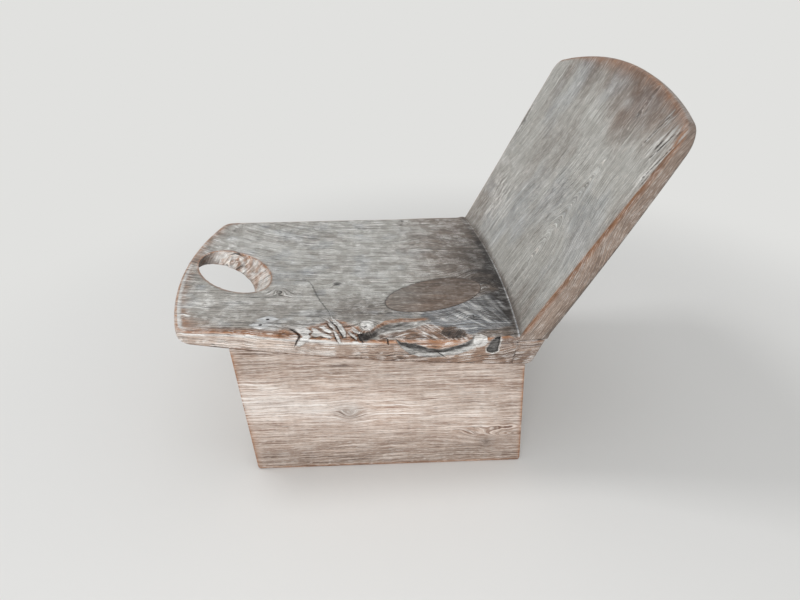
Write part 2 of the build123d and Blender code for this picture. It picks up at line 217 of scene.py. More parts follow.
def arcThrough(a, b, c, count):
    ax, ay, bx, by, cx, cy = *a, *b, *c
    d = 2 * (ax * (by - cy) + bx * (cy - ay) + cx * (ay - by))
    ux = ((ax**2 + ay**2) * (by - cy) + (bx**2 + by**2) * (cy - ay) + (cx**2 + cy**2) * (ay - by)) / d
    uy = ((ax**2 + ay**2) * (cx - bx) + (bx**2 + by**2) * (ax - cx) + (cx**2 + cy**2) * (bx - ax)) / d
    first, last = math.atan2(ay - uy, ax - ux), math.atan2(cy - uy, cx - ux)
    middle = math.atan2(by - uy, bx - ux)
    while last < first:
        last += 2 * math.pi
    while middle < first:
        middle += 2 * math.pi
    if middle > last:
        last -= 2 * math.pi
    turn = np.linspace(first, last, count)
    radius = math.hypot(ax - ux, ay - uy)
    return sideBySide(ux + radius * np.cos(turn), uy + radius * np.sin(turn))


def roundCorners(corners, radii, keep=()):
    # corners of a closed outline, each with a radius; a side may carry extra points
    outline = []
    count = len(corners)
    for k in range(count):
        here = np.array(corners[k], float)
        before = np.array(keep[k - 1][-1] if keep and keep[k - 1] else corners[k - 1], float)
        after = np.array(keep[k][0] if keep and keep[k] else corners[(k + 1) % count], float)
        a, b = before - here, after - here
        a, b = a / np.hypot(*a), b / np.hypot(*b)
        half = math.acos(np.clip(a @ b, -1, 1)) / 2
        cut = radii[k] / math.tan(half)
        bisector = (a + b) / np.hypot(*(a + b))
        centre = here + bisector * radii[k] / math.sin(half)
        first, last = here + a * cut, here + b * cut
        start, end = first - centre, last - centre
        turn = math.atan2(start[0] * end[1] - start[1] * end[0], start @ end)
        for t in np.linspace(0, 1, 9):
            c, s = math.cos(turn * t), math.sin(turn * t)
            outline.append(centre + np.array((c * start[0] - s * start[1], s * start[0] + c * start[1])))
        if keep and keep[k]:
            outline.extend(np.array(q, float) for q in keep[k])
    return np.array(outline)


def spacedLoop(outline, spacing):
    # a closed loop sampled with a spacing that may change along it
    dense = []
    closed = closedLoop(outline)
    for a, b in zip(closed, closed[1:]):
        steps = max(1, int(np.hypot(*(b - a)) / 0.5))
        dense.append(a + (b - a) * (np.arange(steps) / steps)[:, None])
    dense = np.vstack(dense)
    step = np.hypot(*(np.roll(dense, -1, axis=0) - dense).T)
    share = np.concatenate([[0], np.cumsum(step / spacing(dense))])
    total = int(round(share[-1]))
    places = np.arange(total) * share[-1] / total
    dense = closedLoop(dense)
    return sideBySide(*(np.interp(places, share, dense[:, k]) for k in range(2)))


def inwardNormals(loop):
    d = np.roll(loop, -1, axis=0) - np.roll(loop, 1, axis=0)
    n = sideBySide(-d[:, 1], d[:, 0])
    return n / np.hypot(n[:, 0], n[:, 1])[:, None]


def hexGrid(low, high, step):
    rows = np.arange(low[1], high[1], step * math.sqrt(3) / 2)
    points = []
    for k, y in enumerate(rows):
        xs = np.arange(low[0] + (k % 2) * step / 2, high[0], step)
        points.append(sideBySide(xs, np.full(len(xs), y)))
    return np.vstack(points)


# A shell is a closed skin between two faces: a front map and a back map of the same outline.
# Each point keeps its place, the flat coordinates it was drawn at, how deep it lies below the
# front face, how far a groove sinks it and how dark it is.
shellKeys = ("points", "params", "depths", "cuts", "darks")


def newShell():
    return dict({key: [] for key in shellKeys}, faces=[], count=0)


def addPoints(shell, points, params, depth=0.0, cut=0.0, dark=0.0):
    count = len(points)
    shell["points"].append(np.asarray(points, float))
    shell["params"].append(np.asarray(params, float)[:, :2])
    for key, value in (("depths", depth), ("cuts", cut), ("darks", dark)):
        shell[key].append(np.broadcast_to(np.asarray(value, float), (count,)).copy())
    start = shell["count"]
    shell["count"] += count
    return np.arange(start, start + count)


def addBand(shell, first, second):
    corners = (first, second, np.roll(second, -1), np.roll(first, -1))
    shell["faces"].extend(zip(*(ring.tolist() for ring in corners)))


def addFan(shell, ring, middle):
    shell["faces"].extend((int(a), int(b), int(middle)) for a, b in zip(ring, np.roll(ring, -1)))


def grooveLines(groove):
    # the groove's middle and its two sides, narrower towards the ends
    path = smoothPath(groove["path"], 1.6)
    d = np.gradient(path, axis=0)
    sideways = sideBySide(-d[:, 1], d[:, 0]) / np.hypot(d[:, 0], d[:, 1])[:, None]
    t = np.linspace(0, 1, len(path))
    taper = np.minimum(1, np.minimum(t + 0.02, 1.02 - t) / 0.25) ** 0.5
    wobble = 1 + 0.35 * softNoise(t * len(path) / 3, t * 0, 3)
    half = groove["width"] / 2 * taper * wobble
    return path, path + sideways * half[:, None], path - sideways * half[:, None], taper


def addCap(shell, loops, grid, place, grooves=(), depth=0.0):
    # loops: (ids, params), the outer one first; grooves are cut along their paths
    params = [p for _, p in loops]
    ids = [i for i, _ in loops]
    edges, start = [], 0
    for p in params:
        n = len(p)
        edges.extend((start + k, start + (k + 1) % n) for k in range(n))
        start += n
    free = np.ones(len(grid), bool)
    for groove in grooves:
        path, left, right, taper = grooveLines(groove)
        free &= pathDistance(grid, path) > groove["width"] / 2 + 0.7
        left, right = left[1:-1], right[1:-1]
        rim = groove.get("rim", 0.3)
        sunk, shade = groove["depth"] * taper, groove["dark"] * taper
        chains = [(addPoints(shell, place(path), path, depth, sunk, shade), path)]
        chains += [(addPoints(shell, place(line), line, depth, 0.0, rim), line) for line in (left, right)]
        for chain, coords in chains:
            edges.extend((start + k, start + k + 1) for k in range(len(chain) - 1))
            params.append(coords)
            ids.append(chain)
            start += len(chain)
    grid = grid[free]
    ids.append(addPoints(shell, place(grid), grid, depth))
    params.append(grid)
    allIds = np.concatenate(ids)
    flat = np.vstack(params)
    result = delaunay_2d_cdt([Vector(p) for p in flat], edges, [], 1, 1e-7)
    found = [allIds[o[0]] if len(o) else -1 for o in result[3]]
    triangles = np.array([f for f in result[2] if len(f) == 3])
    coords = np.array([tuple(v) for v in result[0]])
    middles = coords[triangles].mean(1)
    keep = np.ones(len(triangles), bool)
    for _, p in loops[1:]:
        keep &= ~insideOutline(middles, p)
    for tri in triangles[keep]:
        face = tuple(int(found[k]) for k in tri)
        if min(face) >= 0:
            shell["faces"].append(face)


def freeGrid(outline, holes, step, fineStep=None, fine=None):
    # points for a cap, finer where asked, none of them too near an edge
    low, high = outline.min(0), outline.max(0)
    grid = hexGrid(low, high, step)
    if fine is not None:
        dense = hexGrid(low, high, fineStep)
        grid = np.vstack([grid[~fine(grid)], dense[fine(dense)]])
    grid = grid[insideOutline(grid, outline)]
    for hole in holes:
        grid = grid[~insideOutline(grid, hole)]
    for loop in (outline, *holes):
        gap = 0.6 * step if fine is None else np.where(fine(grid), 0.6 * fineStep, 0.6 * step)
        grid = grid[loopDistance(grid, loop) > gap]
    return grid


def roundedEdge(near, farPlace):
    # from a face round onto the wall: points, flat coordinates and how far down they lie
    ring, inset, radius, place = near
    rings = []
    for turn in np.linspace(0, math.pi / 2, 7):
        p = ring + inset * (radius * (1 - math.sin(turn)))[:, None]
        face, far = place(p), farPlace(p)
        way = (far - face) / np.linalg.norm(far - face, axis=1)[:, None]
        drop = radius * (1 - math.cos(turn))
        rings.append((face + way * drop[:, None], p, drop))
    return rings


def addWall(shell, front, back, steps):
    # front and back: ring, its inward normals, edge radius and face map
    rings, low = roundedEdge(front, back[3]), roundedEdge(back, front[3])
    top, _, topDrop = rings[-1]
    bottom, _, lowLift = low[-1]
    span = np.linalg.norm(bottom - top, axis=1)
    for t in np.arange(1, steps) / steps:
        rings.append((top * (1 - t) + bottom * t, front[0] * (1 - t) + back[0] * t, topDrop + span * t))
    rings += [(point, p, topDrop + span + lowLift - lift) for point, p, lift in reversed(low)]
    ids = [addPoints(shell, *ring) for ring in rings]
    for a, b in zip(ids, ids[1:]):
        addBand(shell, a, b)
    return (ids[0], rings[0][1]), (ids[-1], rings[-1][1])


def addBoard(shell, loop, radius, backRadius, frontMap, backMap, steps):
    # a wall of one outline between two faces; returns the rings that the two caps start from
    normals = inwardNormals(loop)
    return addWall(shell, (loop, normals, radius, frontMap), (loop, normals, backRadius, backMap), steps)


def finishShell(shell):
    # drops unused points and turns every face outwards
    used = np.zeros(shell["count"], bool)
    for face in shell["faces"]:
        used[list(face)] = True
    renumber = np.cumsum(used) - 1
    for key in shellKeys:
        shell[key] = np.concatenate(shell[key])[used]
    skin = bmesh.new()
    corners = [skin.verts.new(point) for point in shell["points"].tolist()]
    for face in shell["faces"]:
        skin.faces.new([corners[renumber[k]] for k in face])
    skin.verts.index_update()
    bmesh.ops.recalc_face_normals(skin, faces=skin.faces[:])
    shell["faces"] = [tuple(corner.index for corner in face.verts) for face in skin.faces]
    skin.free()


def shellNormals(shell):
    mesh = bpy.data.meshes.new("trial")
    mesh.from_pydata(shell["points"].tolist(), [], shell["faces"])
    mesh.update()
    normals = np.zeros(len(mesh.vertices) * 3, np.float32)
    mesh.vertex_normals.foreach_get("vector", normals)
    bpy.data.meshes.remove(mesh)
    return normals.reshape(-1, 3).astype(float)


def newObject(name, data):
    made = bpy.data.objects.new(name, data)
    bpy.context.scene.collection.objects.link(made)
    return made


def makePiece(name, shell, fiber, finish, tint, material, node):
    # fiber: phase, along and across the grain, in millimetres
    # finish: brown, warm, silver and dark; tint: pale and blue; all from 0 to 1
    mesh = bpy.data.meshes.new(name)
    mesh.from_pydata((shell["points"] * mm).tolist(), [], shell["faces"])
    mesh.polygons.foreach_set("use_smooth", np.ones(len(mesh.polygons), bool))
    grain = mesh.attributes.new("fiber", "FLOAT_VECTOR", "POINT")
    grain.data.foreach_set("vector", (sideBySide(*fiber) * mm).astype(np.float32).ravel())
    for label, masks in (("finish", finish), ("tint", tint)):
        values = np.zeros((len(mesh.vertices), 4), np.float32)
        for channel, mask in enumerate(masks):
            values[:, channel] = np.clip(mask, 0, 1)
        holder = mesh.attributes.new(label, "FLOAT_COLOR", "POINT")
        holder.data.foreach_set("color", values.ravel())
    mesh.materials.append(material)
    mesh.update()
    piece = newObject(name, mesh)
    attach(piece, "root")
    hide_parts(node)
    print("made", name, len(mesh.vertices), "points", len(mesh.polygons), "faces")


# Camera, floor and light

camera = {
    "place": (0.930123, -0.075631, 0.742104),
    "azimuth": 85.4772,
    "elevation": 30.6071,
    "roll": -1.0702,
    "lens": 27.018,
}


def makeCamera():
    a, e, r = (math.radians(camera[k]) for k in ("azimuth", "elevation", "roll"))
    back = Vector((math.sin(a) * math.cos(e), -math.cos(a) * math.cos(e), math.sin(e)))
    level = Vector((math.cos(a), math.sin(a), 0))
    upright = back.cross(level)
    right = level * math.cos(r) + upright * math.sin(r)
    up = upright * math.cos(r) - level * math.sin(r)
    data = bpy.data.cameras.new("camera")
    data.lens = camera["lens"]
    data.sensor_width = 36
    data.clip_start = 0.01
    viewer = newObject("camera", data)
    turn = Matrix((right, up, back)).transposed().to_4x4()
    viewer.matrix_world = Matrix.Translation(camera["place"]) @ turn
    bpy.context.scene.camera = viewer


makeCamera()
print("camera ready")


def linear(r, g, b):
    # a colour as a painter would name it, from 0 to 255
    return tuple(((c / 255 + 0.055) / 1.055) ** 2.4 if c > 10 else c / 3294.6 for c in (r, g, b)) + (1.0,)


def addNode(tree, kind, inputs=None, **settings):
    # an input takes another node's output or a plain value
    node = tree.nodes.new(kind)
    for key, value in settings.items():
        setattr(node, key, value)
    for key, value in (inputs or {}).items():
        if isinstance(value, bpy.types.NodeSocket):
            tree.links.new(value, node.inputs[key])
        else:
            node.inputs[key].default_value = value
    return node


def calc(tree, operation, *values, clamp=False):
    inputs = dict(enumerate(values))
    return addNode(tree, "ShaderNodeMath", inputs, operation=operation, use_clamp=clamp).outputs[0]


def remap(tree, value, low, high, newLow=0.0, newHigh=1.0):
    inputs = {"Value": value, "From Min": low, "From Max": high, "To Min": newLow, "To Max": newHigh}
    return addNode(tree, "ShaderNodeMapRange", inputs, interpolation_type="SMOOTHSTEP").outputs["Result"]


def blendColor(tree, factor, a, b):
    return addNode(tree, "ShaderNodeMix", {0: factor, 6: a, 7: b}, data_type="RGBA").outputs[2]


def noiseOf(tree, vector, scale=1.0, detail=2.0, roughness=0.5, dimensions="2D"):
    inputs = {"Vector": vector, "Scale": scale, "Detail": detail, "Roughness": roughness}
    return addNode(tree, "ShaderNodeTexNoise", inputs, noise_dimensions=dimensions).outputs["Fac"]


def colorSteps(tree, factor, stops):
    node = addNode(tree, "ShaderNodeValToRGB", {"Fac": factor})
    ramp = node.color_ramp
    while len(ramp.elements) < len(stops):
        ramp.elements.new(0.5)
    for element, (place, color) in zip(ramp.elements, stops):
        element.position = place
        element.color = color
    return node.outputs["Color"]


def emptyMaterial(name):
    material = bpy.data.materials.new(name)
    material.use_nodes = True
    material.node_tree.nodes.clear()
    return material, material.node_tree


def finishTree(tree, kind, shader):
    addNode(tree, kind, {"Surface": shader.outputs[0]})


def seenByCamera(tree, kind, share, lit, seen):
    # the second shader stands in for the first, by its share, where the camera or a reflection looks
    rays = addNode(tree, "ShaderNodeLightPath").outputs
    looks = calc(tree, "MAXIMUM", rays["Is Camera Ray"], rays["Is Glossy Ray"])
    looks = calc(tree, "MAXIMUM", looks, rays["Is Transmission Ray"])
    factor = calc(tree, "MULTIPLY", share, looks)
    mixed = addNode(tree, "ShaderNodeMixShader", {"Fac": factor, 1: lit.outputs[0], 2: seen.outputs[0]})
    finishTree(tree, kind, mixed)


stageLook = {
    "shade": linear(225, 225, 223),
    "floorTone": (0.78, 0.78, 0.7683),
    "drop": 0.0002,         # the floor lies this far under the feet
    "radius": 30.0,
    "clearFrom": 0.62,      # the floor's own shading fades out between these distances
    "clearTo": 1.25,
    "middle": (0.0, 0.10),
    "worldLight": 0.56,
}

lamps = {
    "overhead": {"place": (0.3, 0.05, 3.2), "aim": (0, 0, 0.2), "size": (1.4, 1.8), "power": 5.0},
    "farLeft": {"place": (-0.55, -1.65, 3.3), "aim": (0, 0.1, 0.2), "size": (0.8, 0.8), "power": 26.5},
    "nearSide": {"place": (2.5, -0.4, 1.15), "aim": (0, 0, 0.15), "size": (1.5, 0.9), "power": 27.0},
}


def makeStage():
    mesh = bpy.data.meshes.new("floor")
    r = stageLook["radius"]
    mesh.from_pydata([(-r, -r, 0), (r, -r, 0), (r, r, 0), (-r, r, 0)], [], [(0, 1, 2, 3)])
    floor = newObject("floor", mesh)
    floor.location.z = -stageLook["drop"]
    paint, tree = emptyMaterial("floorPaint")
    matte = addNode(tree, "ShaderNodeBsdfDiffuse", {"Color": (*stageLook["floorTone"], 1)})
    glow = addNode(tree, "ShaderNodeEmission", {"Color": stageLook["shade"], "Strength": 1.0})
    place = addNode(tree, "ShaderNodeTexCoord").outputs["Object"]
    split = addNode(tree, "ShaderNodeSeparateXYZ", {"Vector": place})
    x, y = (calc(tree, "SUBTRACT", split.outputs[k], stageLook["middle"][k]) for k in range(2))
    reach = calc(tree, "SQRT", calc(tree, "MULTIPLY_ADD", x, x, calc(tree, "MULTIPLY", y, y)))
    far = remap(tree, reach, stageLook["clearFrom"], stageLook["clearTo"])
    seenByCamera(tree, "ShaderNodeOutputMaterial", far, matte, glow)
    mesh.materials.append(paint)


def makeLamps():
    for name, spec in lamps.items():
        data = bpy.data.lights.new(name, "AREA")
        data.shape = "RECTANGLE"
        data.size, data.size_y = spec["size"]
        data.energy = spec["power"]
        lamp = newObject(name, data)
        way = Vector(spec["aim"]) - Vector(spec["place"])
        lamp.rotation_mode = "QUATERNION"
        lamp.rotation_quaternion = way.to_track_quat("-Z", "Y")
        lamp.location = spec["place"]
    world = bpy.data.worlds.new("studio")
    bpy.context.scene.world = world
    world.use_nodes = True
    tree = world.node_tree
    tree.nodes.clear()
    light = addNode(tree, "ShaderNodeBackground", {"Color": (1, 1, 1, 1), "Strength": stageLook["worldLight"]})
    back = addNode(tree, "ShaderNodeBackground", {"Color": stageLook["shade"], "Strength": 1.0})
    seenByCamera(tree, "ShaderNodeOutputWorld", 1.0, light, back)


makeStage()
makeLamps()
bpy.context.scene.view_settings.view_transform = "Standard"
print("stage ready")

# Wood

woodLook = {
    "grey": ((104, 100, 93), (166, 164, 158), (212, 213, 209)),
    "brown": ((50, 39, 31), (99, 83, 71), (152, 136, 122)),
    "pale": ((132, 98, 79), (203, 179, 162), (252, 242, 233)),
    "blue": ((70, 76, 84), (126, 134, 143), (200, 210, 220)),
    "warm": ((118, 74, 41), (150, 97, 54), (200, 141, 92)),
    "silver": ((146, 141, 137), (226, 223, 219), (255, 255, 253)),
    "dark": (30, 24, 22),
}


# streaks of one board: how many across and along the grain, detail, roughness and a shift
woodStreaks = {
    "fine": (1020.0, 14.0, 3.0, 0.6, 0.0),
    "middle": (520.0, 9.0, 2.0, 0.5, 4.7),
    "hair": (250.0, 6.0, 2.0, 0.5, 17.3),
    "finer": (480.0, 9.0, 2.0, 0.5, 23.9),
}
steadyStreaks = {
    "broad": (60.0, 3.5, 2.0, 0.5, 9.1),
    "pores": (1300.0, 95.0, 1.0, 0.5, 2.3),
    "flecks": (900.0, 90.0, 1.0, 0.5, 7.9),
}
# where a streak's noise crosses these levels runs a thin line, this strong
lightLines = (("hair", 0.5, 1.0), ("hair", 0.58, 0.7), ("finer", 0.5, 0.8))
darkLines = (("hair", 0.42, 1.0), ("finer", 0.44, 0.8))


def grainOf(tree, place, cutAxis):
    # how far across and along the fibres each point lies
    if cutAxis is None:
        fiber = addNode(tree, "ShaderNodeAttribute", attribute_name="fiber").outputs["Vector"]
        return addNode(tree, "ShaderNodeSeparateXYZ", {"Vector": fiber}).outputs[:2]
    # cut from the board at random: rings round a line beside the piece, along one axis
    parts = addNode(tree, "ShaderNodeSeparateXYZ", {"Vector": place}).outputs
    first, second = (parts[k] for k in range(3) if k != cutAxis)
    a, b = calc(tree, "ADD", first, 0.11), calc(tree, "ADD", second, 0.07)
    squares = calc(tree, "MULTIPLY_ADD", a, a, calc(tree, "MULTIPLY", b, b))
    return calc(tree, "SQRT", squares), parts[cutAxis]


def weatheredWood(name, look, cutAxis=None, dashes=1.0, hairs=0.3, contrast=1.0, curl=0.0015):
    material, tree = emptyMaterial(name)
    masked = cutAxis is None    # only the big boards carry masks of their wear and of painted light and shade

    def times(a, b):
        return calc(tree, "MULTIPLY", a, b)

    def timesPlus(a, b, c, clamp=False):
        return calc(tree, "MULTIPLY_ADD", a, b, c, clamp=clamp)

    def spread(value, gain):
        return timesPlus(value, gain, 0.5 - gain / 2)

    place = addNode(tree, "ShaderNodeTexCoord").outputs["Object"]
    phase, along = grainOf(tree, place, cutAxis)
    for scale, reach in ((22.0, 0.006), (95.0, curl)):    # a slow drift, then the curl
        drift = timesPlus(noiseOf(tree, place, scale, 2.0, 0.5, "3D"), reach, -reach / 2)
        phase = calc(tree, "ADD", phase, drift)

    def streaks(across, lengthwise, detail, roughness, shift):
        flat = {0: times(phase, across), 1: timesPlus(along, lengthwise, shift)}
        return noiseOf(tree, addNode(tree, "ShaderNodeCombineXYZ", flat).outputs[0], 1.0, detail, roughness)

    grain = {key: streaks(a, b * dashes, *rest) for key, (a, b, *rest) in woodStreaks.items()}
    grain.update({key: streaks(*spec) for key, spec in steadyStreaks.items()})
    mottle = noiseOf(tree, place, 46.0, 3.0, 0.6, "3D")

    mixed = times(spread(grain["fine"], 3.8), 0.52)
    for part, gain, share in ((grain["middle"], 2.8, 0.20), (grain["broad"], 2.4, 0.14), (mottle, 2.0, 0.14)):
        mixed = timesPlus(spread(part, gain), share, mixed)
    mixed = timesPlus(mixed, contrast, 0.5 - contrast / 2, clamp=True)

    def tones(key):
        stops = zip((0.12, 0.5, 0.88), look[key])
        return colorSteps(tree, mixed, [(at, linear(*color)) for at, color in stops])

    def ragged(mask, strength=0.5):
        # a mask whose border follows the grain
        moved = timesPlus(spread(grain["middle"], 2.0), strength, -strength / 2)
        room = times(times(mask, calc(tree, "SUBTRACT", 1.0, mask)), 4.0)
        return timesPlus(room, moved, mask, clamp=True)

    def over(color, factor, shade):
        return blendColor(tree, factor, color, shade)

    darkShade, paleShade, whiteShade = (linear(*c) for c in (look["dark"], look["pale"][2], look["silver"][2]))
    clear = 1.0
    if masked:
        nodes = [addNode(tree, "ShaderNodeAttribute", attribute_name=key) for key in ("finish", "tint")]
        finish, tint = (
            addNode(tree, "ShaderNodeSeparateXYZ", {"Vector": node.outputs["Vector"]}).outputs for node in nodes
        )
        dark = nodes[0].outputs["Alpha"]
        color = over(tones("grey"), ragged(finish[0]), tones("brown"))
        color = over(color, ragged(tint[0]), tones("pale"))
        color = over(color, ragged(tint[1]), tones("blue"))
        color = over(color, finish[1], tones("warm"))
        glint = times(remap(tree, grain["finer"], 0.53, 0.66), remap(tree, tint[0], 0.62, 1.0, 0.0, 0.9))
        color = over(color, glint, paleShade)
        color = over(color, finish[2], tones("silver"))
        color = over(color, dark, darkShade)
        clear = calc(tree, "SUBTRACT", 1.0, times(dark, 0.8), clamp=True)
    else:
        color = tones("pale")
    poreMask = remap(tree, grain["pores"], 0.60, 0.74)
    color = over(color, times(poreMask, 0.34), darkShade)
    color = over(color, times(remap(tree, grain["flecks"], 0.58, 0.72, 0.0, 0.30), clear), paleShade)

    def crossing(key, level):
        return calc(tree, "ABSOLUTE", calc(tree, "SUBTRACT", grain[key], level))

    some = remap(tree, mottle, 0.42, 0.60)
    for key, level, part in lightLines:
        line = times(remap(tree, crossing(key, level), 0.020, 0.004), times(some, part * hairs))
        color = over(color, times(line, clear), whiteShade)
    for key, level, part in darkLines:
        color = over(color, remap(tree, crossing(key, level), 0.018, 0.004, 0.0, part * hairs), darkShade)

    rough = timesPlus(grain["fine"], 0.16, 0.42)
    if masked:
        rough = timesPlus(finish[2], 0.16, timesPlus(finish[1], -0.20, rough))
        rough = timesPlus(dark, 0.25, rough, clamp=True)
    height = timesPlus(grain["middle"], 0.7, times(grain["fine"], 0.6))
    height = timesPlus(poreMask, -0.35, height)
    relief = addNode(tree, "ShaderNodeBump", {"Height": height, "Strength": 0.35, "Distance": 0.0009})
    inputs = {
        "Base Color": color, "Roughness": rough, "Normal": relief.outputs["Normal"],
        "Coat Weight": 0.12, "Coat Roughness": 0.28,
    }
    finishTree(tree, "ShaderNodeOutputMaterial", addNode(tree, "ShaderNodeBsdfPrincipled", inputs))
    return material


seatWood = weatheredWood("seatWood", woodLook, dashes=0.7, hairs=0.95, contrast=1.10, curl=0.0036)
backWood = weatheredWood("backWood", woodLook, dashes=0.8, hairs=0.34, contrast=0.64, curl=0.0024)
paleLook = dict(woodLook, pale=((140, 106, 88), (212, 190, 175), (255, 247, 240)))
baseWood = weatheredWood("baseWood", paleLook, dashes=1.1, hairs=0.20, contrast=0.80, curl=0.0012)
patchWood = weatheredWood("patchWood", woodLook, hairs=0.25, contrast=0.9)
print("wood ready")


# Seat

seatLook = {
    "noseBow": 38.0,
    "noseSkew": 9.0,
    "noseCorner": 26.0,
    "heelCorner": 8.0,
    "edgeRadius": 6.0,
    "heelRadius": 12.0,
    "footThickness": 38.5,
    "heelOverhang": 9.0,
    "hole": {"x": 8.0, "behindNose": 45.0, "length": 169.0, "width": 100.0, "angle": 35.0},
    "holeFoot": {"shift": 18.5, "length": 146.0, "width": 82.0, "angle": 33.0},
    "patch": {"x": 98.0, "ahead": 109.0, "length": 174.0, "width": 90.0, "angle": 115.0, "thickness": 12.0},
    "scoop": {"behindNose": 282.0, "length": 410.0, "width": 34.0, "depth": 12.0},
    # all of the hole's wall lies in this zone
    "holeZone": {"shift": 8.0, "length": 190.0, "width": 122.0, "angle": 34.0},
    "bolts": {"spacing": 112.0, "count": 4, "behindFace": 22.0, "floor": 30.0, "diameter": 23.0},
    "straightUntil": 110.0,     # behind this the underside is drawn longer than it is, to meet the heel
    "underDepth": 60.0,         # the depth noted for the underside, more than any wall's
}
seatMesh = {
    "nearStep": 0.95, "noseStep": 2.4, "farStep": 3.6, "creaseStep": 2.6,
    "ring": 190, "patchRing": 170, "nailRing": 14, "boreRing": 36,
    "wallSteps": 32, "holeSteps": 12, "grid": 3.3, "fineGrid": 1.02, "underGrid": 9.0,
}
# where the seat's mesh is fine, and where its edge is carved: along the board, and in from the left
seatZones = {
    "outline": (-205, 160),
    "outlineFrom": 150,
    "nose": -230,
    "worn": (-205, 132),
    "wornWidth": 58,
    "corner": (12, 152),
    "cornerWidth": 130,
    "stains": (174, -216),
    "stainsReach": 24,
    "carved": (-215, 195),
    "carvedFrom": 100,
    "carvedDepth": 59,
}

patchY = chair["creaseY"] - seatLook["patch"]["ahead"]
scoopY = noseY + seatLook["scoop"]["behindNose"]


def creaseLine(x):
    share = np.clip(np.abs(x) / chair["creaseHalfWidth"], 0, 1)
    return chair["creaseY"] + chair["footHollow"] / math.cos(backAngle) * (1 - share**2)


footUndercut = chair["housingDepth"] * math.tan(backAngle)
heelTop = chair["creaseY"] - footUndercut + seatLook["footThickness"] / math.cos(backAngle)
heelLow = floorRear - underHeight(chair["creaseY"]) * leanTan + seatLook["heelOverhang"]


def scoopCentre():
    spec = seatLook["scoop"]
    rim = spec["length"] ** 2 / (8 * spec["width"]) + spec["width"] / 2
    lift = (2 * rim * spec["width"] - spec["width"] ** 2 - spec["depth"] ** 2) / (2 * spec["depth"])
    up = np.array((0, slopeTan, 1)) / math.hypot(slopeTan, 1)
    outward = np.array((1, -flare, 0)) / math.hypot(1, flare)
    origin = np.array((halfWidth(scoopY), scoopY, seatHeight(scoopY)))
    return origin + outward * (rim - spec["width"]) + up * lift, math.hypot(rim, lift)


ballCentre, ballRadius = scoopCentre()


def seatTop(p):
    # flat coordinates to the face: hollowed by the scoop, and dropped onto the seam behind the crease
    x, y = p.T
    lip = creaseLine(x)
    strip = 1.2
    t = np.clip((y - lip) / strip, 0, 1)
    stretch = (heelTop - lip + footUndercut) / (heelTop - lip - strip)
    beyond = lip - footUndercut + (y - lip - strip) * stretch
    realY = np.where(y <= lip + strip, np.minimum(y, lip) - t * footUndercut, beyond)
    z = seatHeight(np.minimum(y, lip))
    ball = ballRadius**2 - (x - ballCentre[0]) ** 2 - (y - ballCentre[1]) ** 2
    dip = z - (ballCentre[2] - np.sqrt(np.maximum(ball, 0)))
    dip = np.where(ball > 0, 0.5 * (dip + np.sqrt(dip**2 + 1.5)) - 0.25, 0)    # a soft rim
    z = z - np.maximum(dip, 0) * (1 - ease(-3, 0, y - lip))
    z = z + 0.5 * layeredNoise(x / 70, y / 110, 11, 2) * ease(0, 12, lip - y)
    return sideBySide(x, realY, z * (1 - t) + seamHeight * t)


def stretched(y, drawn, real):
    # y behind the straight part, from one length of the heel to the other
    start = seatLook["straightUntil"]
    return np.where(y > start, start + (y - start) * (real - start) / (drawn - start), y)


def seatUnder(p):
    realY = stretched(p[:, 1], heelTop, heelLow)
    return sideBySide(p[:, 0], realY, underHeight(realY))


def ovalLoop(x, y, length, width, angle, count, grow=0.0):
    turn = np.linspace(0, 2 * math.pi, count, endpoint=False)
    a, b = (length / 2 + grow) * np.cos(turn), (width / 2 + grow) * np.sin(turn)
    c, s = math.cos(math.radians(angle)), math.sin(math.radians(angle))
    return sideBySide(x + c * a - s * b, y + s * a + c * b)


def seatOutline():
    leftY = noseY - seatLook["noseSkew"]
    left = np.array((halfWidth(leftY), leftY))
    right = np.array((-chair["noseHalfWidth"], noseY))
    nose = arcThrough(right, (0, noseY - seatLook["noseBow"]), left, 60)
    rear = halfWidth(heelTop)
    corners = [right, left, (rear, heelTop), (-rear, heelTop)]
    radii = [seatLook["noseCorner"]] * 2 + [seatLook["heelCorner"]] * 2
    return roundCorners(corners, radii, [[tuple(q) for q in nose[4:-4]], [], [], []])


def seatSpacing(q):
    near = (q[:, 0] > seatZones["outlineFrom"]) & within(q[:, 1], seatZones["outline"])
    plain = np.where(q[:, 1] < seatZones["nose"], seatMesh["noseStep"], seatMesh["farStep"])
    return np.where(near, seatMesh["nearStep"], plain)


def ovalOf(spec, y, x=None, grow=0.0, count=seatMesh["ring"]):
    middle = spec["x"] if x is None else x
    return ovalLoop(middle, y, spec["length"], spec["width"], spec["angle"], count, grow)


seatLoop = spacedLoop(seatOutline(), seatSpacing)
holeY = noseY + seatLook["hole"]["behindNose"]
holeTop = ovalOf(seatLook["hole"], holeY)
holeLow = ovalOf(seatLook["holeFoot"], holeY - seatLook["holeFoot"]["shift"], seatLook["hole"]["x"])

# Worn places along the left edge, and a painted highlight on its arris, in a flat drawing of it:
# how far back, and how far in from the arris. A place is drawn as it looks from one point beside
# the chair, and is cut along that line.
edgeView = {"from": (930.1, -75.6, 742.1), "squeeze": 0.53}


def alongView(points, origin, face):
    # where the line from the viewing point through each point meets a plane, and the line's way
    eye = np.array(edgeView["from"])
    way = points - eye
    t = ((origin - eye) @ face) / (way @ face)
    return eye + way * t[:, None], way / np.linalg.norm(way, axis=1)[:, None]


def edgeDrawing(points):
    hit, ray = alongView(points, creasePoint, np.array((0.0, slopeTan, 1.0)))
    return sideBySide(hit[:, 1], (halfWidth(hit[:, 1]) - hit[:, 0]) * edgeView["squeeze"]), ray


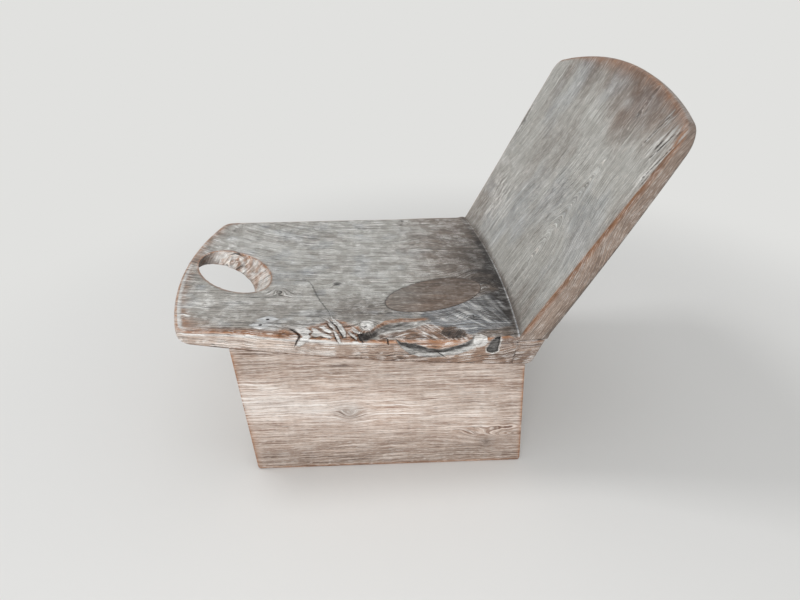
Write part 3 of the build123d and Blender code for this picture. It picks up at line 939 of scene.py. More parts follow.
wornEdge = {
    "flakes": (
        # the long one at the front, shaped like a fish tail, then smaller ones towards the rear
        {"outline": ((-200, 13.4), (-189, 10.4), (-182, 12.6), (-170, 11), (-160, 10), (-151, 7),
                     (-146, 3), (-150, 1), (-147, -4), (-151, -8), (-156, -12.5), (-161, -16.5),
                     (-165.5, -14.5), (-164, -9.5), (-158.5, -3), (-163, 1), (-171, 7), (-181, 10),
                     (-189, 9.4), (-200, 12.6)),
         "lift": 3.2, "grain": 12},
        {"outline": ((-147, 9.6), (-142, 9), (-134, 4), (-116, -3), (-121, -5), (-132, -2),
                     (-141, -3.8), (-147, -1), (-144.5, 4)),
         "lift": 2.6, "grain": -24},
        {"outline": ((-136, 10.3), (-130, 12), (-122, 7), (-116, 3.5), (-121, 2), (-128.5, 5)),
         "lift": 2.6, "grain": -22},
        {"outline": ((-134, 25), (-123, 21.5), (-115, 18), (-111, 13.4), (-117, 14.5), (-125, 19.5)),
         "lift": 2.0, "grain": -28, "shade": 0.30},
        {"outline": ((-124, 16.6), (-118, 15.4), (-112, 9.5), (-114, 6.3), (-120.5, 12)),
         "lift": 2.8, "grain": -42},
        {"outline": ((-119.5, 26.6), (-113, 21), (-103, 14), (-97, 3), (-98, -3), (-101.3, -3.4),
                     (-106, 4), (-111, 11), (-116, 18.4)),
         "lift": 3.4, "grain": -46},
        {"outline": ((-115, 5.4), (-110.3, 3), (-105.5, -6), (-104, -10.6), (-107, -11.2), (-112.5, -3.2)),
         "lift": 3.2, "grain": -58},
        {"outline": ((-94.8, 4), (-90, 3), (-81.5, -3.4), (-82.4, -7), (-88.5, -3)), "lift": 2.8, "grain": -36},
        {"outline": ((-90.4, 8.6), (-84, 6.4), (-72, 2.8), (-79.6, 1), (-85.8, 3.8)),
         "lift": 2.6, "grain": -22},
        {"outline": ((-91, 14), (-84, 9.4), (-79, 4.4), (-84.4, 7.6)), "lift": 2.0, "grain": -44, "shade": 0.2},
    ),
    "notches": (
        {"path": ((-177, 7.2), (-167, 1.4), (-162.6, -3.2), (-166, -9), (-168, -15.6)),
         "widths": (0.5, 1.2, 1.5, 1.2, 0.7), "depth": 4.5},
        {"path": ((-121, 20.5), (-111, 11.5), (-104.5, 1.5), (-101.5, -3.6)),
         "widths": (0.5, 1.0, 0.9, 0.5), "depth": 4.0},
        {"path": ((-110, 8.4), (-105, 2.6), (-100.6, -2.2)), "widths": (0.4, 0.6, 0.4), "depth": 2.0},
        {"path": ((-126, 15.4), (-118.6, 8.6), (-113, 4.6)), "widths": (0.5, 1.1, 0.6), "depth": 3.5},
        {"path": ((-115.4, 2), (-112, -5), (-108.6, -11.4)), "widths": (0.5, 0.9, 0.5), "depth": 3.0},
        {"path": ((-146, -3.6), (-133, -3.2), (-120, -5.8)), "widths": (0.3, 0.6, 0.3), "depth": 1.6},
        {"path": ((-137, 8), (-129, 3.6), (-119, 0.8)), "widths": (0.3, 0.7, 0.3), "depth": 1.8},
        {"path": ((-94, 1), (-88, -4.4), (-82, -8.2)), "widths": (0.4, 0.8, 0.5), "depth": 2.6},
        {"path": ((-88, 3.4), (-80, 0.2), (-74, 0.8)), "widths": (0.3, 0.7, 0.3), "depth": 2.0},
        {"path": ((-80, -1), (-77.6, -5), (-74, -9.6)), "widths": (0.9, 2.0, 1.4), "depth": 4.0},
        {"path": ((-75, 12.6), (-70, 11.2), (-66, 13)), "widths": (0.3, 0.7, 0.4), "depth": 1.0},
        {"path": ((-39.4, -5), (-38.6, -9), (-38.2, -13)), "widths": (0.7, 1.3, 0.5), "depth": 3.5},
        {"path": ((26, -20.5), (33, -24.4), (39, -28.6)), "widths": (0.4, 0.8, 0.3), "depth": 1.4},
        {"path": ((144, -8.6), (147, -14), (136, -22), (130, -28), (125, -36)),
         "widths": (0.3, 0.5, 0.6, 0.5, 0.4), "depth": 1.0, "dark": 0.75},
        {"path": ((122, -9.2), (138, -8.2), (165, -6), (187, -4.4)),
         "widths": (0.4, 0.5, 0.5, 0.4), "depth": 0.8, "dark": 0.7},
    ),
    "knot": {"at": (-66, 13.4), "reach": (10.4, 7.4), "lift": 1.8},
    "rubbed": {"outline": ((-192, 6), (-170, 1), (-150, 11), (-138, 13), (-120, 21), (-104, 20),
                           (-92, 14), (-80, 12), (-74, 5), (-60, 4), (-62, -6), (-76, -8),
                           (-100, -8), (-130, -8), (-160, -5), (-192, -4))},
    "arrisHighlight": {"path": ((-200, -4.1), (-166, -5.7), (-144, -8), (-116, -8.3), (-92, -8.6), (-80, -10.2)),
               "widths": (0.4, 0.7, 0.8, 0.7, 0.6, 0.4)},
    "hollow": {"at": (-80, -70, -60, -51, -38, -16, 3, 26, 31),
               "top": (2, 3, 6, 12.5, 19, 22.6, 22.4, 24.2, 22.4),
               "low": (-6, -9.5, -5.5, 0, 4, 6.6, 11.6, 19, 21.6), "depth": 6.5},
    "boat": {"at": (-27, -21, -10, 3, 19, 36, 53, 71, 86, 97),
             "top": (-5, -8, -10.6, -12, -17.2, -17.8, -14.4, -9.6, -1.6, 1),
             "low": (-6, -16.8, -24.2, -27.2, -27.8, -26, -24.2, -19.8, -14, -10.4), "depth": 6.5},
    "knob": {"outline": ((88, 0.4), (92, 2.4), (98, 3.4), (105.4, -1), (104, -8), (96, -13.4),
                         (86, -14.6), (82, -9.2))},
    "pit": {"outline": ((127, 0.8), (118, -0.9), (109, -6.4), (98.6, -15.7), (96.8, -20.2), (104, -21.7),
                        (112.5, -19.6), (119.6, -10.3)), "depth": 9.0},
    "hatch": {"at": (59, 4.7), "reach": (18.5, 8.2)},
    "fan": {"outline": ((-50, 0), (-30, 4), (0, 10), (24, 17), (42, 14), (80, 3), (88, 1), (77, -6),
                        (20, -7), (-26, -4), (-50, -8))},
    "strip": {"outline": ((-27, -4), (-7, -5.6), (21, -6.4), (50, -7), (78, -5), (72, -9.6),
                          (48, -14.2), (26, -17.2), (6, -12), (-13, -9), (-27, -5))},
}


def between(drawing, spec):
    # 0 at the lower line, 1 at the upper line; below 0 outside
    h = drawing[:, 1]
    low = np.interp(drawing[:, 0], spec["at"], spec["low"])
    top = np.interp(drawing[:, 0], spec["at"], spec["top"])
    v = (h - low) / np.maximum(top - low, 0.3)
    along = (drawing[:, 0] - spec["at"][0]) / (spec["at"][-1] - spec["at"][0])
    gap = np.minimum(np.minimum(h - low, top - h), 30 * np.minimum(along, 1 - along))
    return v, along, gap


def wearAndLightEdge(points):
    # how deep each point sinks along its slanting line, and its masks of wear and of painted light and shade
    drawing, ray = edgeDrawing(points)
    y, h = drawing.T
    depth = np.zeros(len(points))
    masks = {key: np.zeros(len(points)) for key in ("silver", "dark", "warm", "brown", "calm")}
    rough = layeredNoise(y / 5, h / 2.2, 31, 3)
    shifted = drawing + 0.45 * sideBySide(rough, layeredNoise(h / 3, y / 4, 33, 2))

    def cover(body, silver, dark, warm=0.0, brown=0.0):
        values = {"silver": silver, "dark": np.clip(dark, 0, 1), "warm": warm, "brown": brown}
        for key, value in values.items():
            masks[key] = masks[key] * (1 - body) + body * value
        masks["calm"] = raised(masks["calm"], body)

    def reachOf(key):
        return outlineDistance(shifted, wornEdge[key]["outline"])

    # the ground between the flakes is rubbed bare
    reach = reachOf("rubbed")
    cover(0.94 * ease(3.0, -2.0, reach + 1.2 * rough), 0.0, 0.24 + 0.30 * rough, 0.95)
    depth += 1.9 * ease(0.8, -2.0, reach) * (1 + 0.3 * rough)

    # streaks fan out behind the knot
    body = ease(1.2, -2.2, reachOf("fan"))
    lean = h - 0.35 * y + 8.8 * np.logaddexp(0, (y - 8) / 8)
    strokes = softNoise(lean / 1.7, (y - 0.4 * h) / 15, 91)
    cover(body, 0.95 * ease(0.25, 0.8, strokes), np.clip(-strokes, 0, 0.55), 0.46, 0.8)
    depth += body * 0.5 * strokes

    # a painted highlight: a thin white line along the arris
    q = pathDistance(drawing, **wornEdge["arrisHighlight"])
    cover(0.95 * ease(1.5, 0.5, q), 0.92, 0.0)

    lines = softNoise(y / 24, h / 0.9, 93)
    cover(ease(1.0, -1.2, reachOf("strip")), np.clip(0.35 * lines, 0, 1), -0.3 * lines, 1.0)

    # a dark hatched oval
    u, v = ovalPlace(shifted, wornEdge["hatch"])
    strokes = softNoise((y - 1.1 * h) / 1.5, (y + h) / 14, 81)
    cover(ease(1.08, 0.88, np.hypot(u, v) + 0.14 * strokes), 0.0, 0.80 + 0.24 * strokes, 0.2, 1.0)

    # a channel runs from the arris up onto the face
    hollow = wornEdge["hollow"]
    v, along, gap = between(shifted, hollow)
    body = ease(-0.3, 0.7, gap)
    profile = np.clip(4 * v * (1 - v), 0, 1) ** 0.8
    lines = softNoise(along * 14, v * 7 + 0.5 * rough, 51)
    cover(body, 0.16 + 0.26 * lines, 0.56 * profile + 0.30 * (1 - along) - 0.26 * lines, 0, 0.3)
    depth += hollow["depth"] * body * profile * np.clip(3 * (1 - along), 0, 1) * np.clip(6 * along + 0.3, 0, 1)
    above = h - np.interp(y, hollow["at"], hollow["top"])
    upper = ease(0.60, 0.85, v) * ease(2.6, 1.2, above) * ease(0.10, 0.25, along) * ease(1.0, 0.9, along)
    cover(0.9 * upper, 0.0, 0.22 + 0.2 * rough, 1.0)
    cover(0.75 * peak(v, 0.03, 0.06) * ease(0.3, 0.45, along) * (gap > -1), 0.9, 0.0)
    # a painted highlight spot inside the channel
    cover(peak(y, 6, 3.2) * peak(v, 0.45, 0.16), 1.0, 0.0)

    # a boat-shaped hollow on the edge: painted shade on its upper part, painted light on its lower part and
    # lower lip
    boat = wornEdge["boat"]
    v, along, gap = between(shifted, boat)
    body = ease(-0.3, 0.6, gap)
    profile = np.clip(4 * v * (1 - v), 0, 1) ** 0.7
    lines = softNoise(along * 16, v * 8 + 0.6 * rough, 61)
    shadow = ease(0.20, 0.70, v) * (0.88 + 0.2 * lines) * ease(1.0, 0.82, along)
    cover(body, 0.56 + 0.34 * lines + 0.36 * ease(0.3, 0.0, v), shadow + 0.30 * np.clip(-lines, 0, 1))
    depth += boat["depth"] * body * profile
    cover(0.8 * peak(v, 0.04, 0.05) * (gap > -1.2) * (along > 0.05), 1.0, 0.0)
    cover(0.8 * body * peak(y, -20, 4) * peak(v, 0.7, 0.25), 0.0, 0.9)

    # a fluted knob behind it
    reach = reachOf("knob")
    body = ease(0.7, -0.8, reach)
    flutes = softNoise(np.arctan2(h + 20, y - 80) * 14, np.hypot(y - 80, h + 20) / 14, 71)
    cover(body, 1.0, np.clip(-0.5 * flutes - 0.12, 0, 0.4), 0.3 * ease(0.0, 0.8, -flutes))
    depth = depth * (1 - 0.75 * body) + body * 0.8 * (1 - flutes)
    # a painted shadow at the knob's upper left
    cover(0.85 * peak(reach, 0.9, 0.8) * ease(92, 84, y) * ease(-8, -3, h), 0.0, 0.85)

    # the pit is darkened with painted shade, most at its upper side, and its lower and right lip carry a
    # painted highlight
    reach = reachOf("pit")
    cover(ease(0.2, -0.5, reach), 0.42 + 0.2 * rough, 0.84 + 0.08 * rough + 0.16 * ease(-8, -1, h))
    depth += wornEdge["pit"]["depth"] * ease(0.2, -2.2, reach)
    rim = peak(reach, 0.7, 0.6) * (ease(-13, -18, h) + ease(116, 121, y) * ease(2, -4, h))
    cover(np.clip(0.9 * rim, 0, 1), 1.0, 0.0)

    knot = wornEdge["knot"]
    u, v = ovalPlace(drawing, knot)
    r = np.hypot(u, v) * (1 + 0.06 * rough)
    body = ease(1.06, 0.84, r)
    swirl = np.sin(5.4 * r + np.arctan2(v, u) + 0.6)
    cover(body, 0.86 + 0.16 * swirl, np.clip(0.30 * (-swirl - 0.3), 0, 1) + 0.2 * ease(0.2, 0.9, u) * (v < 0))
    depth = depth * (1 - body) - body * knot["lift"] * (1 - r + 0.2 * swirl)

    for flake in wornEdge["flakes"]:
        reach = outlineDistance(shifted, flake["outline"])
        body = ease(0.45, -0.55, reach)
        c, s = math.cos(math.radians(flake["grain"])), math.sin(math.radians(flake["grain"]))
        ridges = softNoise((c * h - s * y) / 1.1, (c * y + s * h) / 13, 41)
        shade = flake.get("shade", 0.0)
        cover(body, 0.95 - shade + 0.16 * ridges, 0.3 * shade - 0.42 * ridges - 0.08)
        depth = depth * (1 - body) - body * (flake["lift"] - 2.2) * (1 + 0.3 * ridges)
        # a thin painted shadow round each lifted flake
        masks["dark"] = raised(masks["dark"], 0.46 * peak(reach, 0.8, 0.6))

    for notch in wornEdge["notches"]:
        q = pathDistance(shifted, notch["path"], notch["widths"])
        body = ease(1.25, 0.45, q)
        depth += notch["depth"] * body
        masks["dark"] = raised(masks["dark"], notch.get("dark", 0.95) * body)
        masks["silver"] = masks["silver"] * (1 - body)

    return depth, ray, masks


# Thin lines in the seat's face: checks, a joint and scratches, as (across, along) paths
seatGrooves = (
    {"path": ((40, -167), (56, -153), (84, -145), (108, -138), (140, -125), (160, -119)),
     "width": 1.3, "depth": 1.4, "dark": 0.85},
    {"path": ((80, 134), (64, 145), (48, 156)), "width": 0.9, "depth": 0.7, "dark": 0.7},
    {"path": ((176, -203), (180, -193), (183, -184)), "width": 1.0, "depth": 0.5, "dark": 0.05, "rim": 0.0},
    {"path": ((-113, -104), (-108, -60), (-104, -20), (-101, 8)), "width": 0.8, "depth": 0.3, "dark": 0.55},
    {"path": ((158, -15), (157.5, 20), (150, 50), (132, 90), (104, 121), (87, 141)),
     "width": 0.8, "depth": 0.4, "dark": 0.6},
)

seatSpots = (
    {"at": (166, -212), "radius": 2.3, "depth": 6.0},
    {"at": (181, -221), "radius": 2.3, "depth": 6.0},
    {"at": (-203, 21), "radius": 1.6, "depth": 4.0},
    {"at": (-182, 17), "radius": 1.4, "depth": 4.0},
)


def seatFine(p):
    # the mesh is fine along the worn edge, at the nails' stains and in the pale corner
    inward = halfWidth(p[:, 1]) - p[:, 0]
    worn = (inward < seatZones["wornWidth"]) & within(p[:, 1], seatZones["worn"])
    stained = np.hypot(*(p - seatZones["stains"]).T) < seatZones["stainsReach"]
    corner = (inward < seatZones["cornerWidth"]) & within(p[:, 1], seatZones["corner"])
    return worn | stained | corner


# the fibres swing round these places
seatKnots = (
    {"at": (75, -201), "reach": (16, 20), "core": 26},
    {"at": (60, -110), "reach": (12, 14), "core": 15},
    {"at": (30, 136), "reach": (50, 42), "core": 62},
    {"at": (187, -66), "reach": (15, 15), "core": 18},
    {"at": (-120, 62), "reach": (44, 56), "core": 34},
    {"at": (150, 96), "reach": (26, 34), "core": 24},
    {"at": (-70, -252), "reach": (30, 34), "core": 12},
    {"at": (120, -20), "reach": (24, 46), "core": 12},
)

figure = {"swing": 120.0, "start": -330.0, "length": 150.0}


def seatPhase(params, depths):
    # the figure runs aslant at the front right and straight towards the rear left
    x, y = params.T
    share = 0.15 + 0.85 * ease(120, -150, x)
    phase = x - share * figure["swing"] * np.tanh((y - figure["start"]) / figure["length"])
    phase = phase + 3.0 * layeredNoise(x / 60, y / 90, 5, 3) + 1.1 * depths * np.tanh(x / 60)
    for knot in seatKnots:
        phase = phase + knot["core"] * spot(x, y, knot) * ease(12, 2, depths)
    return phase


seatTone = {
    "beside": {"at": (150, -75), "reach": (45, 80)},        # a brown area beside the worn edge
    "creaseShade": {"at": (20, 156), "reach": (155, 58)},         # painted shade on the ground before the crease
    "patchCreaseShade": {"at": (30, 130), "reach": (60, 60)},
    "paleCorner": ((224, 14), (156, 16), (142, 49), (98, 124), (90, 163), (200, 152)),
    "featherEye": (262, 172),
    "blueSpots": (
        {"at": (18, -160), "reach": (15, 15)},
        {"at": (63, -327), "reach": (8, 8)},
        {"at": (-176, -252), "reach": (9, 9)},
    ),
    "stainReach": (10, 16),
    "darkSpot": {"at": (60, -110), "reach": (6.5, 6.5)},
    "nicks": ({"at": (-190, -312), "reach": (5, 2.2)}, {"at": (-156, -307), "reach": (5, 2.2)}),
}


def seatMasks(params, depths, darks):
    x, y = params.T
    top = depths < 0.01
    edge = loopDistance(params, seatLoop)
    wave = layeredNoise(x / 38, y / 60, 21, 3)
    fineWave = layeredNoise(x / 9, y / 26, 22, 2)
    before = creaseLine(x) - y    # distance before the crease
    rear = ease(-56, 120, y + 0.06 * x + 36 * wave)
    beside = spot(x, y, seatTone["beside"])
    brown = raised(0.95 * rear, 0.22 * ease(0.0, 0.8, wave))
    brown = raised(brown, 0.55 * beside)
    # painted shade before the crease, deepest just in front of it, plus the darker brown area beside the worn
    # edge
    dark = 1.04 * spot(x, y, seatTone["creaseShade"]) * (0.88 + 0.26 * fineWave) + 0.27 * beside
    dark += 0.46 * peak(before, 4, 10) * (before > 3)
    creaseGleam = peak(before, 1.2, 2.0) * ease(-190, 60, x) * top
    dark = dark * (1 - 0.8 * creaseGleam)

    # the corner beside the crease is bluish, with an edge like a joint and feathered figure
    blue = 0.60 * ease(3, -6, outlineDistance(params, seatTone["paleCorner"]) + 4 * fineWave)
    eyeX, eyeY = seatTone["featherEye"]
    feather = layeredNoise(np.arctan2(x - eyeX, eyeY - y) * 26, np.hypot(x - eyeX, y - eyeY) / 34, 27, 2)
    brown = brown * (1 - 0.75 * blue)
    dark = dark * (1 - 0.3 * blue) + blue * np.clip(0.60 + 0.2 * wave - 0.50 * feather, 0, 1)
    feathered = 0.75 * blue * ease(0.2, 0.9, feather)
    blue = raised(blue, 0.9 * creaseGleam)
    blue = raised(blue, 0.30 * ease(0.15, 0.9, layeredNoise(x / 30, y / 34, 23, 3)) * (1 - rear))
    for place in seatTone["blueSpots"]:
        blue = raised(blue, 0.6 * spot(x, y, place))

    # iron stains round the first two nail holes
    stain = np.zeros(len(x))
    for nail in seatSpots[:2]:
        q = np.abs((params - nail["at"]) / seatTone["stainReach"]).sum(1) + 0.12 * fineWave
        inside = ease(1.15, 0.9, q)
        blue = raised(blue, 0.95 * inside)
        dark = raised(dark, 0.30 * ease(1.9, 1.2, q) * ease(0.95, 1.15, q))
        brown = brown * (1 - inside)
        stain = raised(stain, 0.48 * inside)
    spotReach = np.hypot(*ovalPlace(params, seatTone["darkSpot"]))
    dark = raised(dark, 0.78 * ease(1.25, 0.6, spotReach + 0.15 * fineWave))
    for nick in seatTone["nicks"]:
        dark = raised(dark, 0.6 * ease(1.2, 0.5, np.hypot(*ovalPlace(params, nick))))

    # the arrises are rubbed warm, most of all at the nose and along the left side; painted highlights run along
    # the left arris's rounding and behind the nose
    noseward = ease(-262, -334, y)
    wide = 2.6 + 9.0 * noseward + 10.0 * ease(120, 180, x) * ease(-120, -200, y)
    wide = raised(wide * (1 + 0.35 * fineWave), 1.0)
    warm = np.where(top, (0.96 + 0.1 * wave) * peak(edge, 0, wide, 1.8), peak(depths, 0, 4.0))
    dark = raised(dark, 0.16 * warm)
    holeReach = np.abs(outlineDistance(params, holeTop))
    warm = raised(warm, 0.9 * peak(holeReach, 0, 3.0))
    dark = raised(dark, 0.55 * peak(holeReach, 0, 2.2) * top)
    leftFront = raised(noseward, ease(60, 190, x) * ease(-130, -220, y))
    brown = raised(brown, 0.75 * peak(edge, 0, 26, 1.5) * leftFront * (1 - blue))
    brown = raised(brown, 0.28 * ease(10, 130, x) * ease(-30, -170, y) * (1 - blue))
    # rubbed is a painted highlight along the rounding of the left arris, on an edge that is also rubbed pale;
    # noseGleam is a painted highlight behind the nose
    rubbed = peak(depths, 3.3, 1.0) * ~top * ease(-35, -90, y) * ease(-337, -325, y)
    silver = np.minimum(1.6 * rubbed, 1) * ease(-60, 60, x)
    noseGleam = peak(edge, 7.4, 2.6) * top * noseward * ease(-70, 60, x) * ease(196, 176, x)
    silver = raised(silver, np.minimum(1.25 * noseGleam, 1))
    silver = raised(silver, raised(raised(feathered, stain), 0.34 * creaseGleam) * top)

    # the sides of the board
    sideDark = raised(0.10 * ease(0.1, 1.0, fineWave) + 0.10 * ease(0, 120, y), 0.36 * ease(80, 150, y))
    dark = np.where(top, dark, sideDark)
    brown = np.where(top, brown, 0.56 - 0.32 * ease(0, -250, y))
    pale = np.where(top, 0, 0.14 + 0.60 * ease(40, -230, y + 30 * wave))
    blue = np.where(top, blue, 0)
    warm = np.where(top | (depths >= 50), warm, raised(warm, 0.14 + 0.34 * ease(-220, 80, y)))
    return {
        "brown": brown, "warm": warm * (1 - 0.9 * silver), "silver": silver, "dark": raised(dark, darks),
        "pale": pale, "blue": blue,
    }


def addPocket(shell, rim, rimRing, end, endRing, depths, darks=(0.0, 0.0)):
    # a blind hole: its rim, wall and floor
    ids = addPoints(shell, rim, rimRing, depths[0], 0.0, darks[0])
    endIds = addPoints(shell, end, endRing, depths[1], 0.0, darks[1])
    middle = addPoints(shell, end.mean(0)[None], endRing.mean(0)[None], depths[1], 0.0, darks[1])[0]
    addBand(shell, ids, endIds)
    addFan(shell, endIds, middle)
    return ids


def addRecess(shell):
    # the recess for the patch, with a dark line round its lip
    spec = seatLook["patch"]
    recess, lip = (ovalOf(spec, patchY, grow=gap, count=seatMesh["patchRing"]) for gap in (0.15, 0.65))
    lipIds = addPoints(shell, seatTop(lip), lip, 0.0, 0.0, 0.5)
    face = seatTop(recess)
    wall, floor = face - (0, 0, 0.5), face - (0, 0, spec["thickness"])
    recessIds = addPocket(shell, wall, recess, floor, recess, (0.0, spec["thickness"]), (0.9, 0.0))
    addBand(shell, lipIds, recessIds)
    return lipIds, lip


def addNailHole(shell, nail):
    ring, inner = (
        ovalLoop(*nail["at"], share * nail["radius"], share * nail["radius"], 0, seatMesh["nailRing"])
        for share in (2, 1.5)
    )
    deep = seatTop(inner) - (0, 0, nail["depth"])
    return addPocket(shell, seatTop(ring), ring, deep, inner, (0.0, 0.0), (0.85, 1.0)), ring


def addCounterbore(shell, x):
    # for a bolt's head, drilled along the back's slope
    bolts = seatLook["bolts"]
    start = (bolts["behindFace"] * math.sin(backAngle) - chair["housingDepth"]) / math.cos(backAngle)
    origin = creasePoint + backUp * start - backOut * bolts["behindFace"] + (x, 0, 0)
    turn = np.linspace(0, 2 * math.pi, seatMesh["boreRing"], endpoint=False)
    spread = np.outer(np.cos(turn), (1, 0, 0)) + np.outer(np.sin(turn), np.cross(backUp, (1, 0, 0)))
    circle = origin + spread * bolts["diameter"] / 2
    t = np.full(len(turn), 60.0)
    for _ in range(30):    # down the bore until it meets the underside
        low = circle - backUp * t[:, None]
        t = t + (low[:, 2] - underHeight(low[:, 1])) / backUp[2]
    mouth = circle - backUp * t[:, None]
    ring = sideBySide(mouth[:, 0], stretched(mouth[:, 1], heelLow, heelTop))
    depths = (seatLook["underDepth"], 40.0)
    return addPocket(shell, mouth, ring, circle - backUp * bolts["floor"], ring, depths), ring


def seatShell():
    y = seatLoop[:, 1]
    radius = seatLook["edgeRadius"]
    topRadius = radius - (radius - 0.5) * ease(138, 148, y)
    lowRadius = radius + (seatLook["heelRadius"] - radius) * ease(heelTop - 14, heelTop - 2, y)
    shell = newShell()
    wallSteps, holeSteps = seatMesh["wallSteps"], seatMesh["holeSteps"]
    frontEdge, backEdge = addBoard(shell, seatLoop, topRadius, lowRadius, seatTop, seatUnder, wallSteps)
    rim = np.full(len(holeTop), 2.2)
    upper = (holeTop, -inwardNormals(holeTop), rim, seatTop)
    lower = (holeLow, -inwardNormals(holeLow), rim * 0.9, seatUnder)
    holeFront, holeBack = addWall(shell, upper, lower, holeSteps)
    frontLoops = [frontEdge, holeFront, addRecess(shell)] + [addNailHole(shell, nail) for nail in seatSpots]
    bolts = seatLook["bolts"]
    boltX = (np.arange(bolts["count"]) - (bolts["count"] - 1) / 2) * bolts["spacing"]
    backLoops = [backEdge, holeBack] + [addCounterbore(shell, x) for x in boltX]

    holes = [p for _, p in frontLoops[1:]]
    grid = freeGrid(frontEdge[1], holes, seatMesh["grid"], seatMesh["fineGrid"], seatFine)
    behind = grid[:, 1] - creaseLine(grid[:, 0])
    grid = grid[(behind < -5.2) | (behind > 2.2)]
    xs = np.arange(-222, 222, seatMesh["creaseStep"])    # rows of points along the crease
    rows = np.concatenate([sideBySide(xs, creaseLine(xs) + off) for off in (-3.8, -1.8, 0.0, 1.2)])
    rows = rows[insideOutline(rows, frontEdge[1])]
    grid = np.vstack([grid, rows[loopDistance(rows, frontEdge[1]) > 0.8]])
    addCap(shell, frontLoops, grid, seatTop, seatGrooves)
    underGrid = freeGrid(backEdge[1], [p for _, p in backLoops[1:]], seatMesh["underGrid"])
    addCap(shell, backLoops, underGrid, seatUnder, depth=seatLook["underDepth"])
    finishShell(shell)
    return shell


def wearAndLightHole(shell, masks, normals):
    # the hole's wall was cut by hand: shallow facets, silver patches on them painted as highlights, and painted
    # shade towards its front tip
    points, depths = shell["points"], shell["depths"]
    zone = seatLook["holeZone"]
    zoneLoop = ovalOf(zone, holeY - zone["shift"], seatLook["hole"]["x"], count=60)
    around = insideOutline(shell["params"], zoneLoop)
    wall = around & (depths > 1) & (depths < 40)
    x, y, z = points.T
    rough = layeredNoise(x / 7, (y + 2 * z) / 7, 77, 3)[wall]
    patches = layeredNoise((x + y) / 11, z / 6, 79, 3)[wall]
    points[wall] += normals[wall] * (0.6 * rough)[:, None]
    x, y, z = points[wall].T
    tipShade = ease(-318, -342, y) * ease(20, -20, x)
    masks["pale"][wall] = 0.76 + 0.24 * rough
    masks["brown"][wall] = 0.45
    masks["warm"][wall] = 0.62 * ease(0.05, 0.55, -patches) + 0.8 * peak(depths[wall], 0, 3.6)
    masks["silver"][wall] = 0.85 * ease(-0.05, 0.5, patches) * (1 - tipShade)
    masks["dark"][wall] = raised(0.30 * ease(0.25, 0.9, -rough), 0.72 * tipShade)
    return around


def makeSeat():
    shell = seatShell()
    points, depths = shell["points"], shell["depths"]
    normals = shellNormals(shell)
    masks = seatMasks(shell["params"], depths, shell["darks"])
    above = depths < seatZones["carvedDepth"]
    near = above & (points[:, 0] > seatZones["carvedFrom"]) & within(points[:, 1], seatZones["carved"])
    sink, ray, worn = wearAndLightEdge(points[near])
    points[:, 2] -= shell["cuts"]
    points[near] += ray * sink[:, None]
    for key in ("silver", "warm", "brown", "pale", "blue"):
        masks[key][near] = masks[key][near] * (1 - worn["calm"]) + worn.get(key, 0)
    masks["dark"][near] = raised(masks["dark"][near] * (1 - worn["calm"]), worn["dark"])
    around = wearAndLightHole(shell, masks, normals)
    # painted shade, warm and dark, along the lower arris where the seat meets the base
    low = above & (points[:, 2] - underHeight(points[:, 1]) < 3.2) & (depths > 8) & ~around
    masks["warm"][low] = 0.7
    masks["dark"][low] = raised(masks["dark"][low], 0.35)
    fiber = (seatPhase(shell["params"], depths), points[:, 1], points[:, 2] + points[:, 0])
    finish = [masks[key] for key in ("brown", "warm", "silver", "dark")]
    tint = [masks[key] for key in ("pale", "blue")]
    makePiece("seatBoard", shell, fiber, finish, tint, seatWood, "seat_slab")


makeSeat()


def makePatch():
    spec = seatLook["patch"]
    loop = ovalOf(spec, patchY, count=seatMesh["patchRing"])
    shell = newShell()

    def low(p):
        return seatTop(p) - (0, 0, spec["thickness"])

    radius = np.full(len(loop), 0.5)
    front, back = addBoard(shell, loop, radius, radius, seatTop, low, 4)
    addCap(shell, [front], freeGrid(front[1], [], 3.0), seatTop)
    addCap(shell, [back], freeGrid(back[1], [], 9.0), low, depth=spec["thickness"])
    finishShell(shell)
    x, y = shell["params"].T
    edge = -outlineDistance(shell["params"], loop)
    wave = layeredNoise(x / 30, y / 60, 25, 2)
    px, py, pz = shell["points"].T
    phase = np.hypot(px + 160 - 0.01 * py, pz - 120) + 1.2 * layeredNoise(py / 140, px / 90, 9, 2)
    dark = np.where(shell["depths"] < 0.01, 0.60 * peak(edge, 0, 1.2), 0.8)
    # the inlay is darker in tone, and painted shade from before the crease reaches onto it
    dark = raised(dark, 0.32 + 0.38 * spot(x, y, seatTone["patchCreaseShade"]))
    ends = (y < patchY - 60) | (y > patchY + 66)
    pale = 0.5 * ends * peak(edge, 2.4, 1.1)
    brown = 0.98 - 0.40 * ease(0, -70, y - patchY)
    finish = (brown, 0.12 + 0.12 * wave, 0, dark)
    makePiece("seatInlay", shell, (phase, py, px), finish, (pale,), patchWood, "seat_patch")


makePatch()

# Back

backLook = {
    "length": 388.0,
    "shoulder": 346.0,
    "shoulderHalfWidth": 251.0,
    "leftCorner": 36.0,
    "rightCorner": 26.0,
    "foot": 38.5,
    "middle": 32.5,
    "middleAt": 160.0,
    "top": 15.0,
    "topHollow": 6.0,
    "swell": 9.0,
    "edgeRadius": 5.0,
    "wallSteps": 16,
    "grid": 3.2,
    "fineGrid": 1.7,
    "rearGrid": 7.0,
    "rearDepth": 60.0,      # the depth noted for the rear face, more than any wall's
}


def backHalf(s):
    widening = (backLook["shoulderHalfWidth"] - chair["creaseHalfWidth"]) / backLook["shoulder"]
    return chair["creaseHalfWidth"] + widening * s


def backDepth(s):
    first = (backLook["middle"] - backLook["foot"]) / backLook["middleAt"]
    second = (backLook["top"] - backLook["middle"]) / (backLook["length"] - backLook["middleAt"])
    bend = (second - first) / backLook["length"]
    return backLook["foot"] + first * s + bend * s * (s - backLook["middleAt"])


